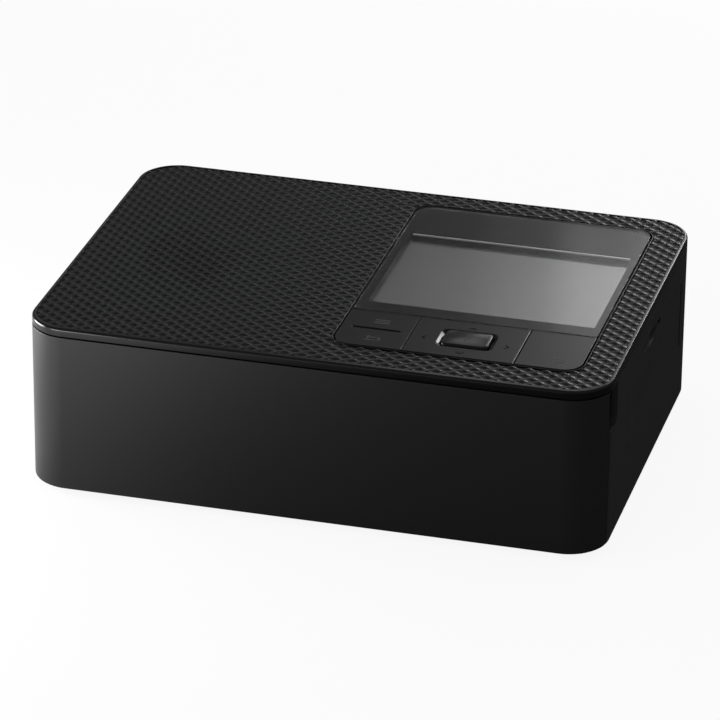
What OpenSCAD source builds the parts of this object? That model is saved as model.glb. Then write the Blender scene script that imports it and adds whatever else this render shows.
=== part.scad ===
// Compact dye-sublimation photo printer: case, hinged covers, operation panel and print mechanism.
// Millimetres. X runs to the right, Y to the back and Z up. The front face is at -Y.
// The origin is on the table, below the middle of the case.

/* [Case] */
// Width of the case
case_w = 182.2; // [178:0.1:190]
// Depth of the case
case_d = 133; // [130:0.5:138]
// Height of the operation panel's surface above the table
top_z = 57.1; // [56.5:0.1:60]
// Radius of the four upright corners
corner_r = 13; // [11:0.5:15]
// Thickness of the outer walls
wall = 2; // [1.8:0.1:2.2]
// Space between the table and the lower edge of the walls
foot_h = 2.2; // [1.8:0.1:2.4]
// Height of the band round the top cover
rim_h = 2.9; // [2.6:0.1:3.1]
// Step from the panel surface down to the top cover
top_drop = 0.3; // [0.1:0.05:0.4]
// Thickness of the top cover plate
top_t = 2; // [1.6:0.1:2.1]
// Thickness of the base plate
base_t = 2; // [1.6:0.1:2.2]
// Rounding of the top cover's edge
rim_edge_r = 0.8; // [0.4:0.1:1.2]
// Rounding of the lower edge of the walls
low_edge_r = 1; // [0.5:0.1:1.4]
// Gap at a seam between two fixed mouldings
seam = 0.25; // [0.15:0.05:0.4]

/* [Front cover] */
// How far the cover's sides reach round the corners
cover_return = 9.6; // [9:0.1:10.2]
// Seam between the cover's sides and the body
cover_seam = 0.8; // [0.6:0.1:1]
// Gap between the cover's upper edge and the top cover
cover_top_gap = 0.5; // [0.4:0.05:0.8]
// Rounding of the corners of the cover's sides
cover_corner_r = 3; // [2.8:0.1:3.6]
// Height of the hinge axis above the walls' lower edge
cover_hinge_h = 3.9; // [3.7:0.1:4.2]
// Distance of the hinge axis behind the front face
cover_hinge_in = 4.2; // [4:0.1:4.4]
// Distance from the middle to each hinge ear
cover_ear_x = 70; // [66:0.5:74]
// Width of the finger notch beside the cover
notch_w = 7.9; // [6:0.1:9]
// Height of the finger notch
notch_h = 13.8; // [10:0.1:16]
// Depth of the finger notch
notch_depth = 6; // [5:0.1:8]

/* [Operation panel] */
// Width of the operation panel
panel_w = 76.95; // [76:0.05:78]
// Distance of the panel from the right side of the case
panel_right = 11.25; // [10.5:0.05:12]
// Distance of the panel from the front of the case
panel_front = 13.9; // [13:0.1:15]
// Distance of the panel from the rear of the case
panel_rear = 10.4; // [9.5:0.1:12]
// Radius of the panel's corners
panel_r = 5.7; // [4.5:0.1:7]
// Gap round the panel
panel_gap = 0.5; // [0.3:0.05:0.7]
// Thickness of the panel's window plate and keys
panel_t = 1.2; // [1:0.05:1.3]
// Width of the clear window
window_w = 71.7; // [70:0.1:72]
// Length of the clear window
window_l = 54.6; // [53:0.1:56]
// Margin from the panel's left edge to the window
window_left = 2.8; // [2.4:0.1:3.4]
// Margin from the key row to the window
window_front = 7.7; // [7:0.1:9]
// Depth of the display below the panel surface
lcd_depth = 2.9; // [2.8:0.05:3.1]
// Length of the key row from front to back
key_l = 25.2; // [24:0.1:26]
// Gap between neighbouring keys
key_seam = 0.25; // [0.2:0.05:0.35]
// Width of the menu and back key
menu_w = 22.1; // [21:0.1:23]
// Width of the four-way key
nav_w = 34.8; // [34:0.1:36]
// Width of the OK button
ok_w = 14.7; // [13:0.1:16]
// Length of the OK button
ok_l = 10.7; // [9.5:0.1:11.5]
// Height of the OK button above the panel
ok_rise = 0.5; // [0.3:0.05:0.8]
// Travel of a pressed key
key_travel = 0.3; // [0.2:0.05:0.3]

/* [Card slot and ink door] */
// Distance of the middle of the card slot from the rear of the case
card_rear = 64.5; // [63:0.5:66]
// Depth of the middle of the card slot below the panel surface
card_drop = 10.8; // [10.6:0.1:11]
// Width of the card slot
card_w = 24.6; // [24.4:0.1:25]
// Height of the card slot
card_h = 2.4; // [2.3:0.05:2.5]
// Length of the ink door
door_l = 76; // [74:0.5:78]
// Height of the ink door
door_h = 22; // [20:0.5:22]
// Distance from the middle of the card slot down to the ink door
door_drop = 2.3; // [2.2:0.1:3]
// Distance of the ink door's hinge from the rear of the case
door_hinge_rear = 20.5; // [19.5:0.5:21]
// Gap round the ink door
door_gap = 0.25; // [0.2:0.05:0.35]
// Radius of the ink door's hinge barrel
barrel_r = 1.5; // [1.4:0.05:1.55]

/* [Paper path] */
// Width of the widest paper
paper_w = 100; // [98:0.5:101]
// Depth of the paper path below the panel surface
path_drop = 29.1; // [29:0.05:29.2]
// Distance of the platen's shaft from the rear of the case
platen_rear = 36.5; // [36.3:0.1:37]
// Height of the paper cassette bay's mouth
bay_h = 24.5; // [22:0.5:25]
// Radius of the rubber platen
platen_r = 7; // [6.5:0.1:7.2]
// Radius of the feed roller
feed_r = 3; // [2.8:0.1:3.2]
// Radius of the pickup roller
pickup_r = 6; // [5.5:0.1:6.2]
// Length of the pickup roller's rubber
pickup_w = 28; // [24:0.5:32]
// Radius of the roller shafts
shaft_r = 2; // [1.8:0.05:2.1]
// Running clearance of a shaft in its bore
run_fit = 0.06; // [0.04:0.01:0.09]

/* [Head and ink] */
// Angle of the print head's stroke
press_angle = 4; // [3.5:0.1:4.2]
// Height of the raised print head above the paper path
head_lift = 2.4; // [2.3:0.05:2.6]
// Radius of the supply side of the ink cassette
supply_tube_r = 7.4; // [7.2:0.1:7.5]
// Radius of the take-up side of the ink cassette
take_tube_r = 6.5; // [6.3:0.1:6.7]
// Wall of the ink cassette
ink_wall = 0.9; // [0.7:0.1:1.1]

/* [Gears] */
// Tooth size: pitch diameter over tooth count
gear_m = 0.7; // [0.68:0.01:0.71]
// Extra distance between two meshing gear shafts
gear_play = 0.1; // [0.08:0.01:0.14]
// Backlash along the pitch circle
backlash = 0.16; // [0.12:0.01:0.22]

/* [Hidden] */
$fn = 48;
eps = 0.01;

// Levels and edges of the case
side_x = case_w / 2;
front_y = -case_d / 2;
rear_y = case_d / 2;
in_x = side_x - wall;
in_rear = rear_y - wall;
seam_z = top_z - rim_h;
cover_z = top_z - top_drop;
base_top = foot_h + base_t;
body_top = seam_z - seam;
touch_gap = 0.3;
path_z = top_z - path_drop;
card_y = rear_y - card_rear;
card_z = top_z - card_drop;

// Front cover and its hinge
cover_end = front_y + cover_return;
body_front = cover_end + cover_seam;
cover_top = seam_z - cover_top_gap;
hinge_y = front_y + cover_hinge_in;
hinge_z = foot_h + cover_hinge_h;
lug_r = cover_hinge_in - wall - touch_gap;
ear_t = 3;
pin_r = 0.9;
bezel_y = body_front - 0.9;
bezel_t = 2;
bezel_w = 2 * (in_x - 0.4);
bezel_face = side_x - 7;
base_front = hinge_y + cover_hinge_h + touch_gap;

// Operation panel
px1 = side_x - panel_right;
px0 = px1 - panel_w;
py0 = front_y + panel_front;
py1 = rear_y - panel_rear;
panel_l = py1 - py0;
panel_cx = (px0 + px1) / 2;
panel_cy = (py0 + py1) / 2;
plate_z = top_z - panel_t;
lcd_z = top_z - lcd_depth;
under_top = cover_z - top_t;
win_x0 = px0 + window_left;
key_y1 = py0 + key_l;
win_y0 = key_y1 + window_front;
win_y1 = win_y0 + window_l;
key_cy = (py0 + key_y1) / 2;
menu_x1 = px0 + menu_w;
nav_x1 = menu_x1 + nav_w;
nav_cx = (menu_x1 + nav_x1) / 2;
menu_cx = (px0 + menu_x1) / 2;
power_cx = (nav_x1 + px1) / 2;
lcd_t = 2.4;
flange = 1.8;
flange_t = 1.2;
pocket_z = plate_z - 0.7;
stem_r = 1.4;
key_clear = 0.35;
stem_z = lcd_z - 1.7;
switch_h = 0.6;
key_board_top = stem_z - key_travel - 0.05 - switch_h;
key_board_t = 1;
rocker_off = 7;
post_r = 2.2;

// Rollers, seen from the side as [y, z]
platen_at = [rear_y - platen_rear, path_z - platen_r];
feed_at = [platen_at[0] - 26, path_z - feed_r];
pinch_at = [feed_at[0], path_z + touch_gap + feed_r];
pivot_at = [in_rear - 10, path_z + 18];

// Chassis
chassis_x = paper_w / 2 + 16;
chassis_t = 1.2;
chassis_in = chassis_x - chassis_t / 2;
chassis_out = chassis_x + chassis_t / 2;
chassis_y0 = feed_at[0] - 34;
chassis_y1 = in_rear - 2.5;
chassis_z1 = pivot_at[1] + 3;
chassis_front_z1 = card_z - card_h / 2 - 1;

// Main board and card slot
board_t = 1.2;
board_z = card_z + 1.9;
board_x0 = 4 - chassis_x;
board_x1 = in_x - 1.6;
board_y0 = py0 + 0.6;
board_y1 = card_y + card_w / 2 + 8;
post_x = [board_x0 + 5, px1 + 4.6];
post_y = [board_y0 + 22, board_y1 - 3];

// Ink door hinge
door_pin_x = side_x - 1.6;
door_pin_r = 0.75;
door_hinge_y = rear_y - door_hinge_rear;
door_y0 = door_hinge_y - door_l;
door_z1 = card_z - door_drop;
door_z = door_z1 - door_h;

// Gear planes and the plate outside them
gear_in = chassis_out + 1.4;
gear_t = 3;
plane_a = gear_in;
plane_b = gear_in + gear_t + 0.4;
plate_x = plane_b + gear_t + 0.6;
plate_t = 1.2;

// Tooth counts and the shafts they fix
feed_big_n = 40;
feed_small_n = 32;
pickup_n = 24;
pinion_n = 12;
take_n = 22;
cam_n = 12;
function reach(a, b) = (a + b) * gear_m / 2 + gear_play;
function beside(at, r, a) = [at[0] + r * cos(a), at[1] + r * sin(a)];
pickup_dir = 156;
feed_motor_dir = 185;
ribbon_dir = -110;
head_motor_dir = -150;
pickup_at = beside(feed_at, reach(feed_small_n, pickup_n), pickup_dir);
feed_motor_at = beside(feed_at, reach(feed_big_n, pinion_n), feed_motor_dir);
take_at = [platen_at[0] + 14, path_z + 8.6];
supply_at = [platen_at[0] - 13, path_z + 8.6];
ribbon_motor_at = beside(take_at, reach(take_n, pinion_n), ribbon_dir);
cam_at = [in_rear - 5.3, path_z + 11.8];
head_motor_at = beside(cam_at, reach(cam_n, pinion_n), head_motor_dir);

// Print head
arm_x = chassis_x - 4.4;
arm_t = 1.2;
arm_z0 = pivot_at[1] - 1.6;
arm_z1 = pivot_at[1] + 2.4;
pivot_r = 1.5;
head_w = 9;
head_y0 = platen_at[0] - head_w / 2;
head_z = path_z + head_lift;
head_h = 3.4;
cam_r = arm_z0 - touch_gap - cam_at[1];
cam_rise = (cam_at[0] - pivot_at[0]) * tan(press_angle);
cam_sweep = 90;
film_z = path_z + 0.25;
film_t = 0.15;
film_roll_r = supply_tube_r - ink_wall - 0.9;
core_r = 3;
ink_x = paper_w / 2 + 7;

// ---------- shared shapes ----------

// Rectangle about the origin with round corners
module rounded_rect(w, d, r) {
    union() {
        square([w - 2 * r, d], center = true);
        square([w, d - 2 * r], center = true);
        for (sx = [-1, 1], sy = [-1, 1])
            translate([sx * (w / 2 - r), sy * (d / 2 - r)]) circle(r);
    }
}

// Slab from z = 0 up to h, round at its corners and round over its upper edge
module soft_slab(w, d, h, r, e) {
    module edge_profile(half) {
        union() {
            square([half, h - e]);
            square([half - e, h]);
            translate([half - e, h - e]) circle(e);
        }
    }
    for (sx = [-1, 1], sy = [-1, 1])
        translate([sx * (w / 2 - r), sy * (d / 2 - r), 0]) rotate_extrude() edge_profile(r);
    for (side = [0, 1]) mirror([side, 0, 0])
        translate([0, d / 2 - r, 0]) rotate([90, 0, 0])
            linear_extrude(d - 2 * r) edge_profile(w / 2);
    for (side = [0, 1]) mirror([0, side, 0])
        translate([-w / 2 + r, 0, 0]) rotate([90, 0, 90])
            linear_extrude(w - 2 * r) edge_profile(d / 2);
}

// Upright prism of a flat outline between two heights
module rise(z0, z1) {
    translate([0, 0, z0]) linear_extrude(z1 - z0) children();
}

// Box given by its lowest and highest corners
module span(a, b) {
    translate(a) cube([b[0] - a[0], b[1] - a[1], b[2] - a[2]]);
}

// Rod along X at a side position [y, z]
module rod(at, r, x0, x1) {
    translate([x0, at[0], at[1]]) rotate([0, 90, 0]) cylinder(h = x1 - x0, r = r);
}

// Plate across X: a side outline, drawn in y and z, between two x values
module side_plate(x0, x1) {
    translate([x0, 0, 0]) rotate([90, 0, 90]) linear_extrude(x1 - x0) children();
}

// Outline of the panel, larger all round by grow
module panel_outline(grow) {
    translate([panel_cx, panel_cy])
        rounded_rect(panel_w + 2 * grow, panel_l + 2 * grow, panel_r + grow);
}

// Pan-head screw, head down, with its head's face at the origin and its shank going up
module screw(head_r, head_h, shank_r, length) {
    difference() {
        union() {
            cylinder(h = head_h, r = head_r);
            cylinder(h = length, r = shank_r);
        }
        for (a = [0, 90]) rotate(a)
            translate([-head_r * 0.6, -0.3, -eps]) cube([head_r * 1.2, 0.6, head_h * 0.5]);
    }
}

// Point of an involute at a radius, as an angle from where it leaves the base circle
function involute(rb, r) = r <= rb ? 0 : sqrt(r * r / (rb * rb) - 1) * 180 / PI - acos(rb / r);

// Flat outline of a spur gear with its first tooth on the first axis
module gear_outline(n) {
    rp = n * gear_m / 2;
    rb = rp * cos(20);
    ra = rp + gear_m * 0.95;
    rf = rp - gear_m * 1.2;
    half = 90 / n - backlash / 2 / rp * 180 / PI;
    start = max(rb, rf);
    radii = [for (i = [0:4]) start + (ra - start) * i / 4];
    flank = [for (r = radii) [r, half + involute(rb, rp) - involute(rb, r)]];
    tooth = concat([[rf, (flank[0][1] + 180 / n) / 2]], flank);
    polygon([for (i = [0:n - 1]) each concat(
        [for (p = tooth) [p[0] * cos(i * 360 / n - p[1]), p[0] * sin(i * 360 / n - p[1])]],
        [for (k = [len(tooth) - 1:-1:0]) let (p = tooth[k])
            [p[0] * cos(i * 360 / n + p[1]), p[0] * sin(i * 360 / n + p[1])]])]);
}

// Spur gear on a shaft along X, outside the left chassis plate
module gear(at, n, turn, x_in, bore) {
    translate([-x_in - gear_t, at[0], at[1]]) rotate([90, 0, 90]) linear_extrude(gear_t)
        difference() {
            rotate(turn) gear_outline(n);
            circle(bore);
        }
}

// Turn that puts a gear's teeth in mesh with a gear at turn a1, seen in direction d
function mesh(n1, a1, n2, d) = d + 180 + 180 / n2 + (d - a1) * n1 / n2;

// ---------- case ----------

module top_cover() color("#1b1b1d") {
    difference() {
        union() {
            difference() {
                translate([0, 0, seam_z])
                    soft_slab(case_w, case_d, cover_z - seam_z, corner_r, rim_edge_r);
                rise(seam_z - 1, under_top)
                    rounded_rect(case_w - 2 * wall, case_d - 2 * wall, corner_r - wall);
            }
            locating_lip();
            for (x = post_x, y = post_y) rise_post(x, y, board_z + board_t, under_top + eps);
        }
        rise(seam_z - 3, top_z + 1) panel_outline(panel_gap);
        for (x = post_x, y = post_y) rise_post(x, y, board_z, under_top - 0.4, 1);
    }
}

module rise_post(x, y, z0, z1, r = post_r) {
    translate([x, y, z0]) cylinder(h = z1 - z0, r = r);
}

// Lip under the top cover that sits inside the rear and side walls
module locating_lip() {
    lip_t = 1.4;
    lip_h = 2;
    lip_gap = 0.15;
    inset = wall + lip_gap;
    intersection() {
        rise(seam_z - lip_h, under_top + eps) difference() {
            rounded_rect(case_w - 2 * inset, case_d - 2 * inset, corner_r - inset);
            rounded_rect(case_w - 2 * (inset + lip_t), case_d - 2 * (inset + lip_t),
                corner_r - inset - lip_t);
        }
        span([-side_x, body_front + notch_w + wall, 0], [side_x, rear_y, top_z]);
    }
}

module body_case() color("#161617") {
    difference() {
        union() {
            case_wall(foot_h, body_top, body_front, rear_y + 1);
            door_bosses();
            for (side = [0, 1], y = boss_y) mirror([side, 0, 0]) screw_boss(y);
        }
        notch_cut();
        door_cut();
        card_cut();
        rear_cuts();
        for (sx = [-1, 1], y = boss_y) translate([sx * boss_x, y, base_top - eps])
            cylinder(h = boss_h - 2, r = screw_r);
    }
}

boss_x = side_x - 7.6;
boss_y = [front_y + 22, rear_y - 7.5];
boss_r = 3;
boss_h = 9;
screw_r = 1.2;

// Boss for a case screw and the rib that ties it to the wall
module screw_boss(y) {
    translate([boss_x, y, base_top]) cylinder(h = boss_h, r = boss_r);
    span([boss_x, y - 0.8, base_top], [in_x + eps, y + 0.8, base_top + boss_h]);
}

// Ring of outer wall between two heights, kept only between two y values
module case_wall(z0, z1, y0, y1) {
    intersection() {
        difference() {
            translate([0, 0, z1]) mirror([0, 0, 1])
                soft_slab(case_w, case_d, z1 - z0, corner_r, low_edge_r);
            rise(z0 - 1, z1 + 1)
                rounded_rect(case_w - 2 * wall, case_d - 2 * wall, corner_r - wall);
        }
        span([-side_x - 1, y0, z0 - 1], [side_x + 1, y1, z1 + 1]);
    }
}

notch_y1 = body_front + notch_w;
notch_z0 = body_top - notch_h;
cup_t = 1.4;
cup_gap = 0.12;

// Cup behind the finger notch: floor, back and inner side
module finger_cup() color("#161617") {
    x0 = side_x - notch_depth;
    x1 = in_x - cup_gap;
    y0 = bezel_y + bezel_t;
    span([x0 - cup_t, y0, notch_z0 - cup_t], [x1, notch_y1 + cup_t, notch_z0]);
    span([x0 - cup_t, notch_y1, notch_z0 - cup_t], [x1, notch_y1 + cup_t, body_top]);
    span([x0 - cup_t, y0, notch_z0 - cup_t], [x0, notch_y1 + cup_t, body_top]);
}

module notch_cut() {
    r = 2.5;
    side_plate(in_x - 0.5, side_x + 1) {
        translate([body_front - 1, notch_z0 + r]) square([notch_w + 1, notch_h]);
        translate([body_front - 1, notch_z0]) square([notch_w + 1 - r, notch_h]);
        translate([notch_y1 - r, notch_z0 + r]) circle(r);
    }
}

module door_cut() {
    span([in_x - 0.6, door_y0 - door_gap, door_z - door_gap],
        [side_x + 1, door_hinge_y + barrel_r + 0.4, door_z1 + door_gap]);
    translate([door_pin_x, door_hinge_y, door_z - 3.4])
        cylinder(h = door_h + 5.9, r = door_pin_r + 0.01);
}

// Bosses above and below the door that hold its pin
module door_bosses() {
    for (z = [door_z - door_gap - 3, door_z1 + door_gap])
        translate([door_pin_x, door_hinge_y, z]) cylinder(h = 3, r = barrel_r);
}

module card_cut() {
    scoop_r = 5;
    scoop_depth = 0.8;
    scoop_l = 15;
    span([in_x - 1, card_y - card_w / 2, card_z - card_h / 2],
        [side_x + 1, card_y + card_w / 2, card_z + card_h / 2]);
    translate([side_x + scoop_r - scoop_depth, card_y - scoop_l / 2, card_z + 2.9])
        rotate([-90, 0, 0]) cylinder(h = scoop_l, r = scoop_r);
}

slot_w = paper_w + 12;
bay_w = paper_w + 16;
slot_z0 = path_z - 2;
slot_h = 6;
port_z = 9.6;
port_t = 1.6;
jack_x = 48;
jack_z = port_z + 5;
usb_x = 28;
usb_z = port_z + 1.8;
peg_x = [usb_x - 6, jack_x + 6];
peg_y = in_rear - 18.5;
vent_n = 15;
vent_pitch = 6;

// Paper slot with the place of the grille above it, jack hole and USB hole
module rear_cuts() {
    y0 = in_rear - 1;
    y1 = rear_y + 1;
    span([-slot_w / 2, y0, slot_z0], [slot_w / 2, y1, body_top + 1]);
    translate([jack_x, y0, jack_z]) rotate([-90, 0, 0]) cylinder(h = wall + 2, r = 3.6);
    span([usb_x - 4.9, y0, usb_z - 1.9], [usb_x + 4.9, y1, usb_z + 1.9]);
}

// Vent panel that closes the rear wall above the paper slot, with tabs behind the wall
module rear_grille() color("#161617") {
    x1 = slot_w / 2 - seam;
    z0 = slot_z0 + slot_h;
    tab_t = 1.3;
    tab_w = 3.5;
    tab_gap = 0.1;
    difference() {
        span([-x1, in_rear, z0], [x1, rear_y, body_top]);
        for (i = [0:vent_n - 1])
            translate([(i - (vent_n - 1) / 2) * vent_pitch, 0, 0])
                span([-1, in_rear - 1, body_top - 14], [1, rear_y + 1, body_top - 6]);
    }
    for (side = [0, 1]) mirror([side, 0, 0]) {
        span([x1 - tab_w, in_rear - tab_t - tab_gap, z0 + 2], [x1, in_rear + eps, body_top - 3]);
        span([x1 - tab_w, in_rear - tab_t - tab_gap, z0 + 2],
            [x1 + tab_w, in_rear - tab_gap, body_top - 3]);
    }
}

foot_x = side_x - 17;
foot_y = [front_y + 19, rear_y - 15];
foot_r = 6;
foot_sink = 0.6;
base_gap = 0.15;

module base_plate() color("#202022") {
    for (x = peg_x) {
        translate([x, peg_y, base_top - eps]) cylinder(h = port_z - port_t - base_top + eps, r = 2.2);
        translate([x, peg_y, base_top]) cylinder(h = port_z + 1 - base_top, r = 1);
    }
    difference() {
        intersection() {
            rise(foot_h, base_top)
                rounded_rect(case_w - 2 * (wall + base_gap), case_d - 2 * (wall + base_gap),
                    corner_r - wall - base_gap);
            union() {
                span([-bezel_w / 2, body_front, 0], [bezel_w / 2, rear_y, top_z]);
                span([corner_r - side_x, base_front, 0], [side_x - corner_r, rear_y, top_z]);
            }
        }
        for (sx = [-1, 1], y = foot_y) translate([sx * foot_x, y, foot_h - eps])
            cylinder(h = foot_sink + eps, r = foot_r);
        for (sx = [-1, 1], y = boss_y) translate([sx * boss_x, y, foot_h - 1]) {
            cylinder(h = base_t + 2, r = screw_r + 0.2);
            cylinder(h = 2, r = 2.6);
        }
        for (i = [-4:4]) translate([i * 8, 0, 0])
            span([-1.2, platen_at[0] - 18, foot_h - 1], [1.2, platen_at[0] + 16, base_top + 1]);
    }
}

module rubber_feet() color("#0c0c0c")
    for (sx = [-1, 1], y = foot_y) translate([sx * foot_x, y, 0]) union() {
        cylinder(h = 0.8, r1 = foot_r - 1, r2 = foot_r - 0.2);
        translate([0, 0, 0.8]) cylinder(h = foot_h + foot_sink - 0.8, r = foot_r - 0.2);
    }

// Screws of the case, of the main board and of the key board
module screws() color("#8d8d90") {
    for (sx = [-1, 1], y = boss_y) translate([sx * boss_x, y, foot_h])
        screw(2.3, 1, screw_r - 0.02, 8);
    for (x = post_x, y = post_y) translate([x, y, board_z - 1]) screw(2.2, 1, 0.95, 5.2);
    for (x = key_post_x, y = key_post_y)
        translate([x, y, key_board_top - key_board_t - 0.8]) screw(1.9, 0.8, 0.75, 4.6);
}

bay_z0 = base_top + 2.3;

module front_bezel() color("#121213") {
    difference() {
        union() {
            span([-bezel_face, bezel_y, base_top], [bezel_face, bezel_y + bezel_t, body_top]);
            span([-bezel_w / 2, body_front, base_top], [bezel_w / 2, bezel_y + bezel_t, body_top]);
            for (sx = [-1, 1]) hinge_ear(sx * cover_ear_x);
        }
        span([-bay_w / 2, bezel_y - 1, bay_z0], [bay_w / 2, bezel_y + bezel_t + 1, bay_z0 + bay_h]);
        for (sx = [-1, 1]) rod([hinge_y, hinge_z], pin_r + run_fit,
            sx * cover_ear_x - ear_t, sx * cover_ear_x + ear_t);
    }
}

module hinge_ear(x) {
    rod([hinge_y, hinge_z], lug_r, x - ear_t / 2, x + ear_t / 2);
    span([x - ear_t / 2, hinge_y, max(base_top, hinge_z - lug_r)],
        [x + ear_t / 2, bezel_y + 1, hinge_z + lug_r]);
}

module front_cover() color("#19191a") {
    intersection() {
        case_wall(foot_h, cover_top, front_y - 1, body_front);
        side_plate(-side_x - 1, side_x + 1) cover_side();
    }
    for (sx = [-1, 1]) for (side = [-1, 1])
        cover_lug(sx * cover_ear_x + side * (ear_t + 0.3), side, sx);
}

// Side view of the front cover, round at its two rear corners
module cover_side() {
    r = cover_corner_r;
    l = cover_end - front_y + 1;
    translate([front_y - 1, foot_h]) union() {
        square([l - r, cover_top - foot_h]);
        translate([0, r]) square([l, cover_top - foot_h - 2 * r]);
        for (z = [r, cover_top - foot_h - r]) translate([l - r, z]) circle(r);
    }
}

// Lug beside a hinge ear; the outer lug of each pair carries the pin
module cover_lug(x, side, sx) {
    rod([hinge_y, hinge_z], lug_r, x - ear_t / 2, x + ear_t / 2);
    span([x - ear_t / 2, front_y + wall - eps, hinge_z - lug_r],
        [x + ear_t / 2, hinge_y, hinge_z + lug_r]);
    if (side == sx) rod([hinge_y, hinge_z], pin_r,
        sx > 0 ? x - 1.5 * ear_t - 0.3 : x, sx > 0 ? x : x + 1.5 * ear_t + 0.3);
}

module ink_door() color("#161617") {
    difference() {
        union() {
            span([in_x, door_y0, door_z], [side_x, door_hinge_y, door_z1]);
            translate([door_pin_x, door_hinge_y, door_z]) cylinder(h = door_h, r = barrel_r);
            for (z = [door_z + 5, door_z1 - 8])
                span([in_x - 2.4, door_y0 + 0.4, z], [in_x + eps, door_y0 + 1.8, z + 3]);
        }
        translate([door_pin_x, door_hinge_y, door_z - 1])
            cylinder(h = door_h + 2, r = door_pin_r + run_fit);
    }
}

module ink_door_pin() color("#b5b5b8")
    translate([door_pin_x, door_hinge_y, door_z - 2.9])
        cylinder(h = door_h + 5.2, r = door_pin_r);

// ---------- operation panel ----------

module panel_frame() color("#0f0f10") {
    difference() {
        union() {
            rise(lcd_z, plate_z) panel_outline(0);
            rise(under_top - flange_t, under_top) panel_outline(panel_gap + flange);
            for (x = key_post_x, y = key_post_y)
                rise_post(x, y, key_board_top, lcd_z + eps);
        }
        rise(0, lcd_z) difference() {
            panel_outline(-1.2);
            for (x = key_post_x, y = key_post_y) translate([x, y]) circle(post_r + eps);
        }
        span([win_x0, win_y0, 0], [win_x0 + window_w, win_y1, top_z]);
        rise(pocket_z, top_z) intersection() {
            panel_outline(1);
            translate([px0 - 1, py0 - 1]) square([panel_w + 2, key_l + 1]);
        }
        for (p = stems) translate([p[0], p[1], 0]) cylinder(h = top_z, r = stem_r + 0.6);
        for (x = key_post_x, y = key_post_y)
            rise_post(x, y, key_board_top - 1, lcd_z + 0.6, 0.8);
    }
}

key_post_x = [px0 + 5, px1 - 5];
key_post_y = [py0 + 5.2, key_y1 - 3.6];
nav_stem_x = 12.5;
nav_stem_y = 8.6;
stems = concat([for (s = [-1, 1]) [menu_cx, key_cy + s * rocker_off]],
    [for (s = [-1, 1]) [nav_cx + s * nav_stem_x, key_cy]],
    [for (s = [-1, 1]) [nav_cx, key_cy + s * nav_stem_y]],
    [[nav_cx, key_cy], [power_cx, key_cy]]);

module screen_window() color([0.1, 0.1, 0.11, 0.6])
    rise(plate_z, top_z) intersection() {
        panel_outline(0);
        translate([px0, key_y1 + key_seam]) square([panel_w, panel_l]);
    }

module lcd_panel() color("#3a3a3d") {
    side = 1.2;
    end = 2;
    span([win_x0 - side, win_y0 - end, lcd_z - lcd_t],
        [win_x0 + window_w + side, win_y1 + end, lcd_z]);
}

// Key plate between two x values of the key row, following the panel's corners
module key_plate(x0, x1) {
    rise(plate_z, top_z) intersection() {
        panel_outline(0);
        translate([x0, py0]) square([x1 - x0, key_l - key_seam]);
    }
}

module key_stem(x, y, z0 = stem_z) {
    rise_post(x, y, z0, plate_z + eps, stem_r);
}

module menu_back_key() color("#131314") {
    slit_w = 15;
    slit_l = 0.9;
    difference() {
        key_plate(px0, menu_x1 - key_seam);
        span([menu_cx - slit_w / 2, key_cy - slit_l / 2, top_z - 0.5],
            [menu_cx + slit_w / 2, key_cy + slit_l / 2, top_z + 1]);
    }
    for (s = [-1, 1]) key_stem(menu_cx, key_cy + s * rocker_off);
}

nav_rubber_top = stem_z + 1.2;

module nav_rubber() color("#3b3b3b") {
    arm = stem_r + 1;
    difference() {
        rise(stem_z + 0.2, nav_rubber_top) translate([nav_cx, key_cy]) union() {
            square([2 * (nav_stem_x + arm), 2 * arm], center = true);
            square([2 * arm, 2 * (nav_stem_y + arm)], center = true);
            circle(5);
        }
        translate([nav_cx, key_cy, 0]) cylinder(h = top_z, r = stem_r + 0.5);
    }
    for (s = [-1, 1]) {
        rise_post(nav_cx + s * nav_stem_x, key_cy, stem_z, stem_z + 0.3, stem_r);
        rise_post(nav_cx, key_cy + s * nav_stem_y, stem_z, stem_z + 0.3, stem_r);
    }
}

module nav_key() color("#131314") {
    ok_gap = 0.35;
    difference() {
        key_plate(menu_x1, nav_x1 - key_seam);
        rise(plate_z - 1, top_z + 1) translate([nav_cx, key_cy])
            rounded_rect(ok_w + 2 * ok_gap, ok_l + 2 * ok_gap, 2.2);
    }
    for (s = [-1, 1]) {
        key_stem(nav_cx + s * nav_stem_x, key_cy, nav_rubber_top + key_clear);
        key_stem(nav_cx, key_cy + s * nav_stem_y, nav_rubber_top + 0.05);
    }
}

module ok_button() color("#151516") {
    face_inset = 1.1;
    rise(plate_z - 0.3, top_z) translate([nav_cx, key_cy]) rounded_rect(ok_w, ok_l, 1.9);
    rise(top_z - eps, top_z + ok_rise) translate([nav_cx, key_cy])
        rounded_rect(ok_w - 2 * face_inset, ok_l - 2 * face_inset, 1.2);
    key_stem(nav_cx, key_cy);
}

module power_key() color("#131314") {
    key_plate(nav_x1, px1);
    key_stem(power_cx, key_cy);
}

module key_board() color("#1e5b33")
    difference() {
        span([px0 + 2.4, py0 + 2.4, key_board_top - key_board_t],
            [px1 - 2.4, key_y1 + 1.4, key_board_top]);
        for (x = key_post_x, y = key_post_y) rise_post(x, y, 0, top_z, 1);
    }

module key_switches() color("#c9c9cc")
    for (p = stems) translate([p[0], p[1], key_board_top]) union() {
        translate([-2.2, -2.2, 0]) cube([4.4, 4.4, switch_h * 0.6]);
        cylinder(h = switch_h, r = 1.5);
    }

// ---------- boards ----------

module main_board() color("#1e5b33")
    difference() {
        span([board_x0, board_y0, board_z], [board_x1, board_y1, board_z + board_t]);
        for (x = post_x, y = post_y) rise_post(x, y, 0, top_z, 1.15);
        translate([side_x - notch_depth - cup_t - 0.4, front_y, 0]) cube([20, 32, top_z]);
    }

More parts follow.
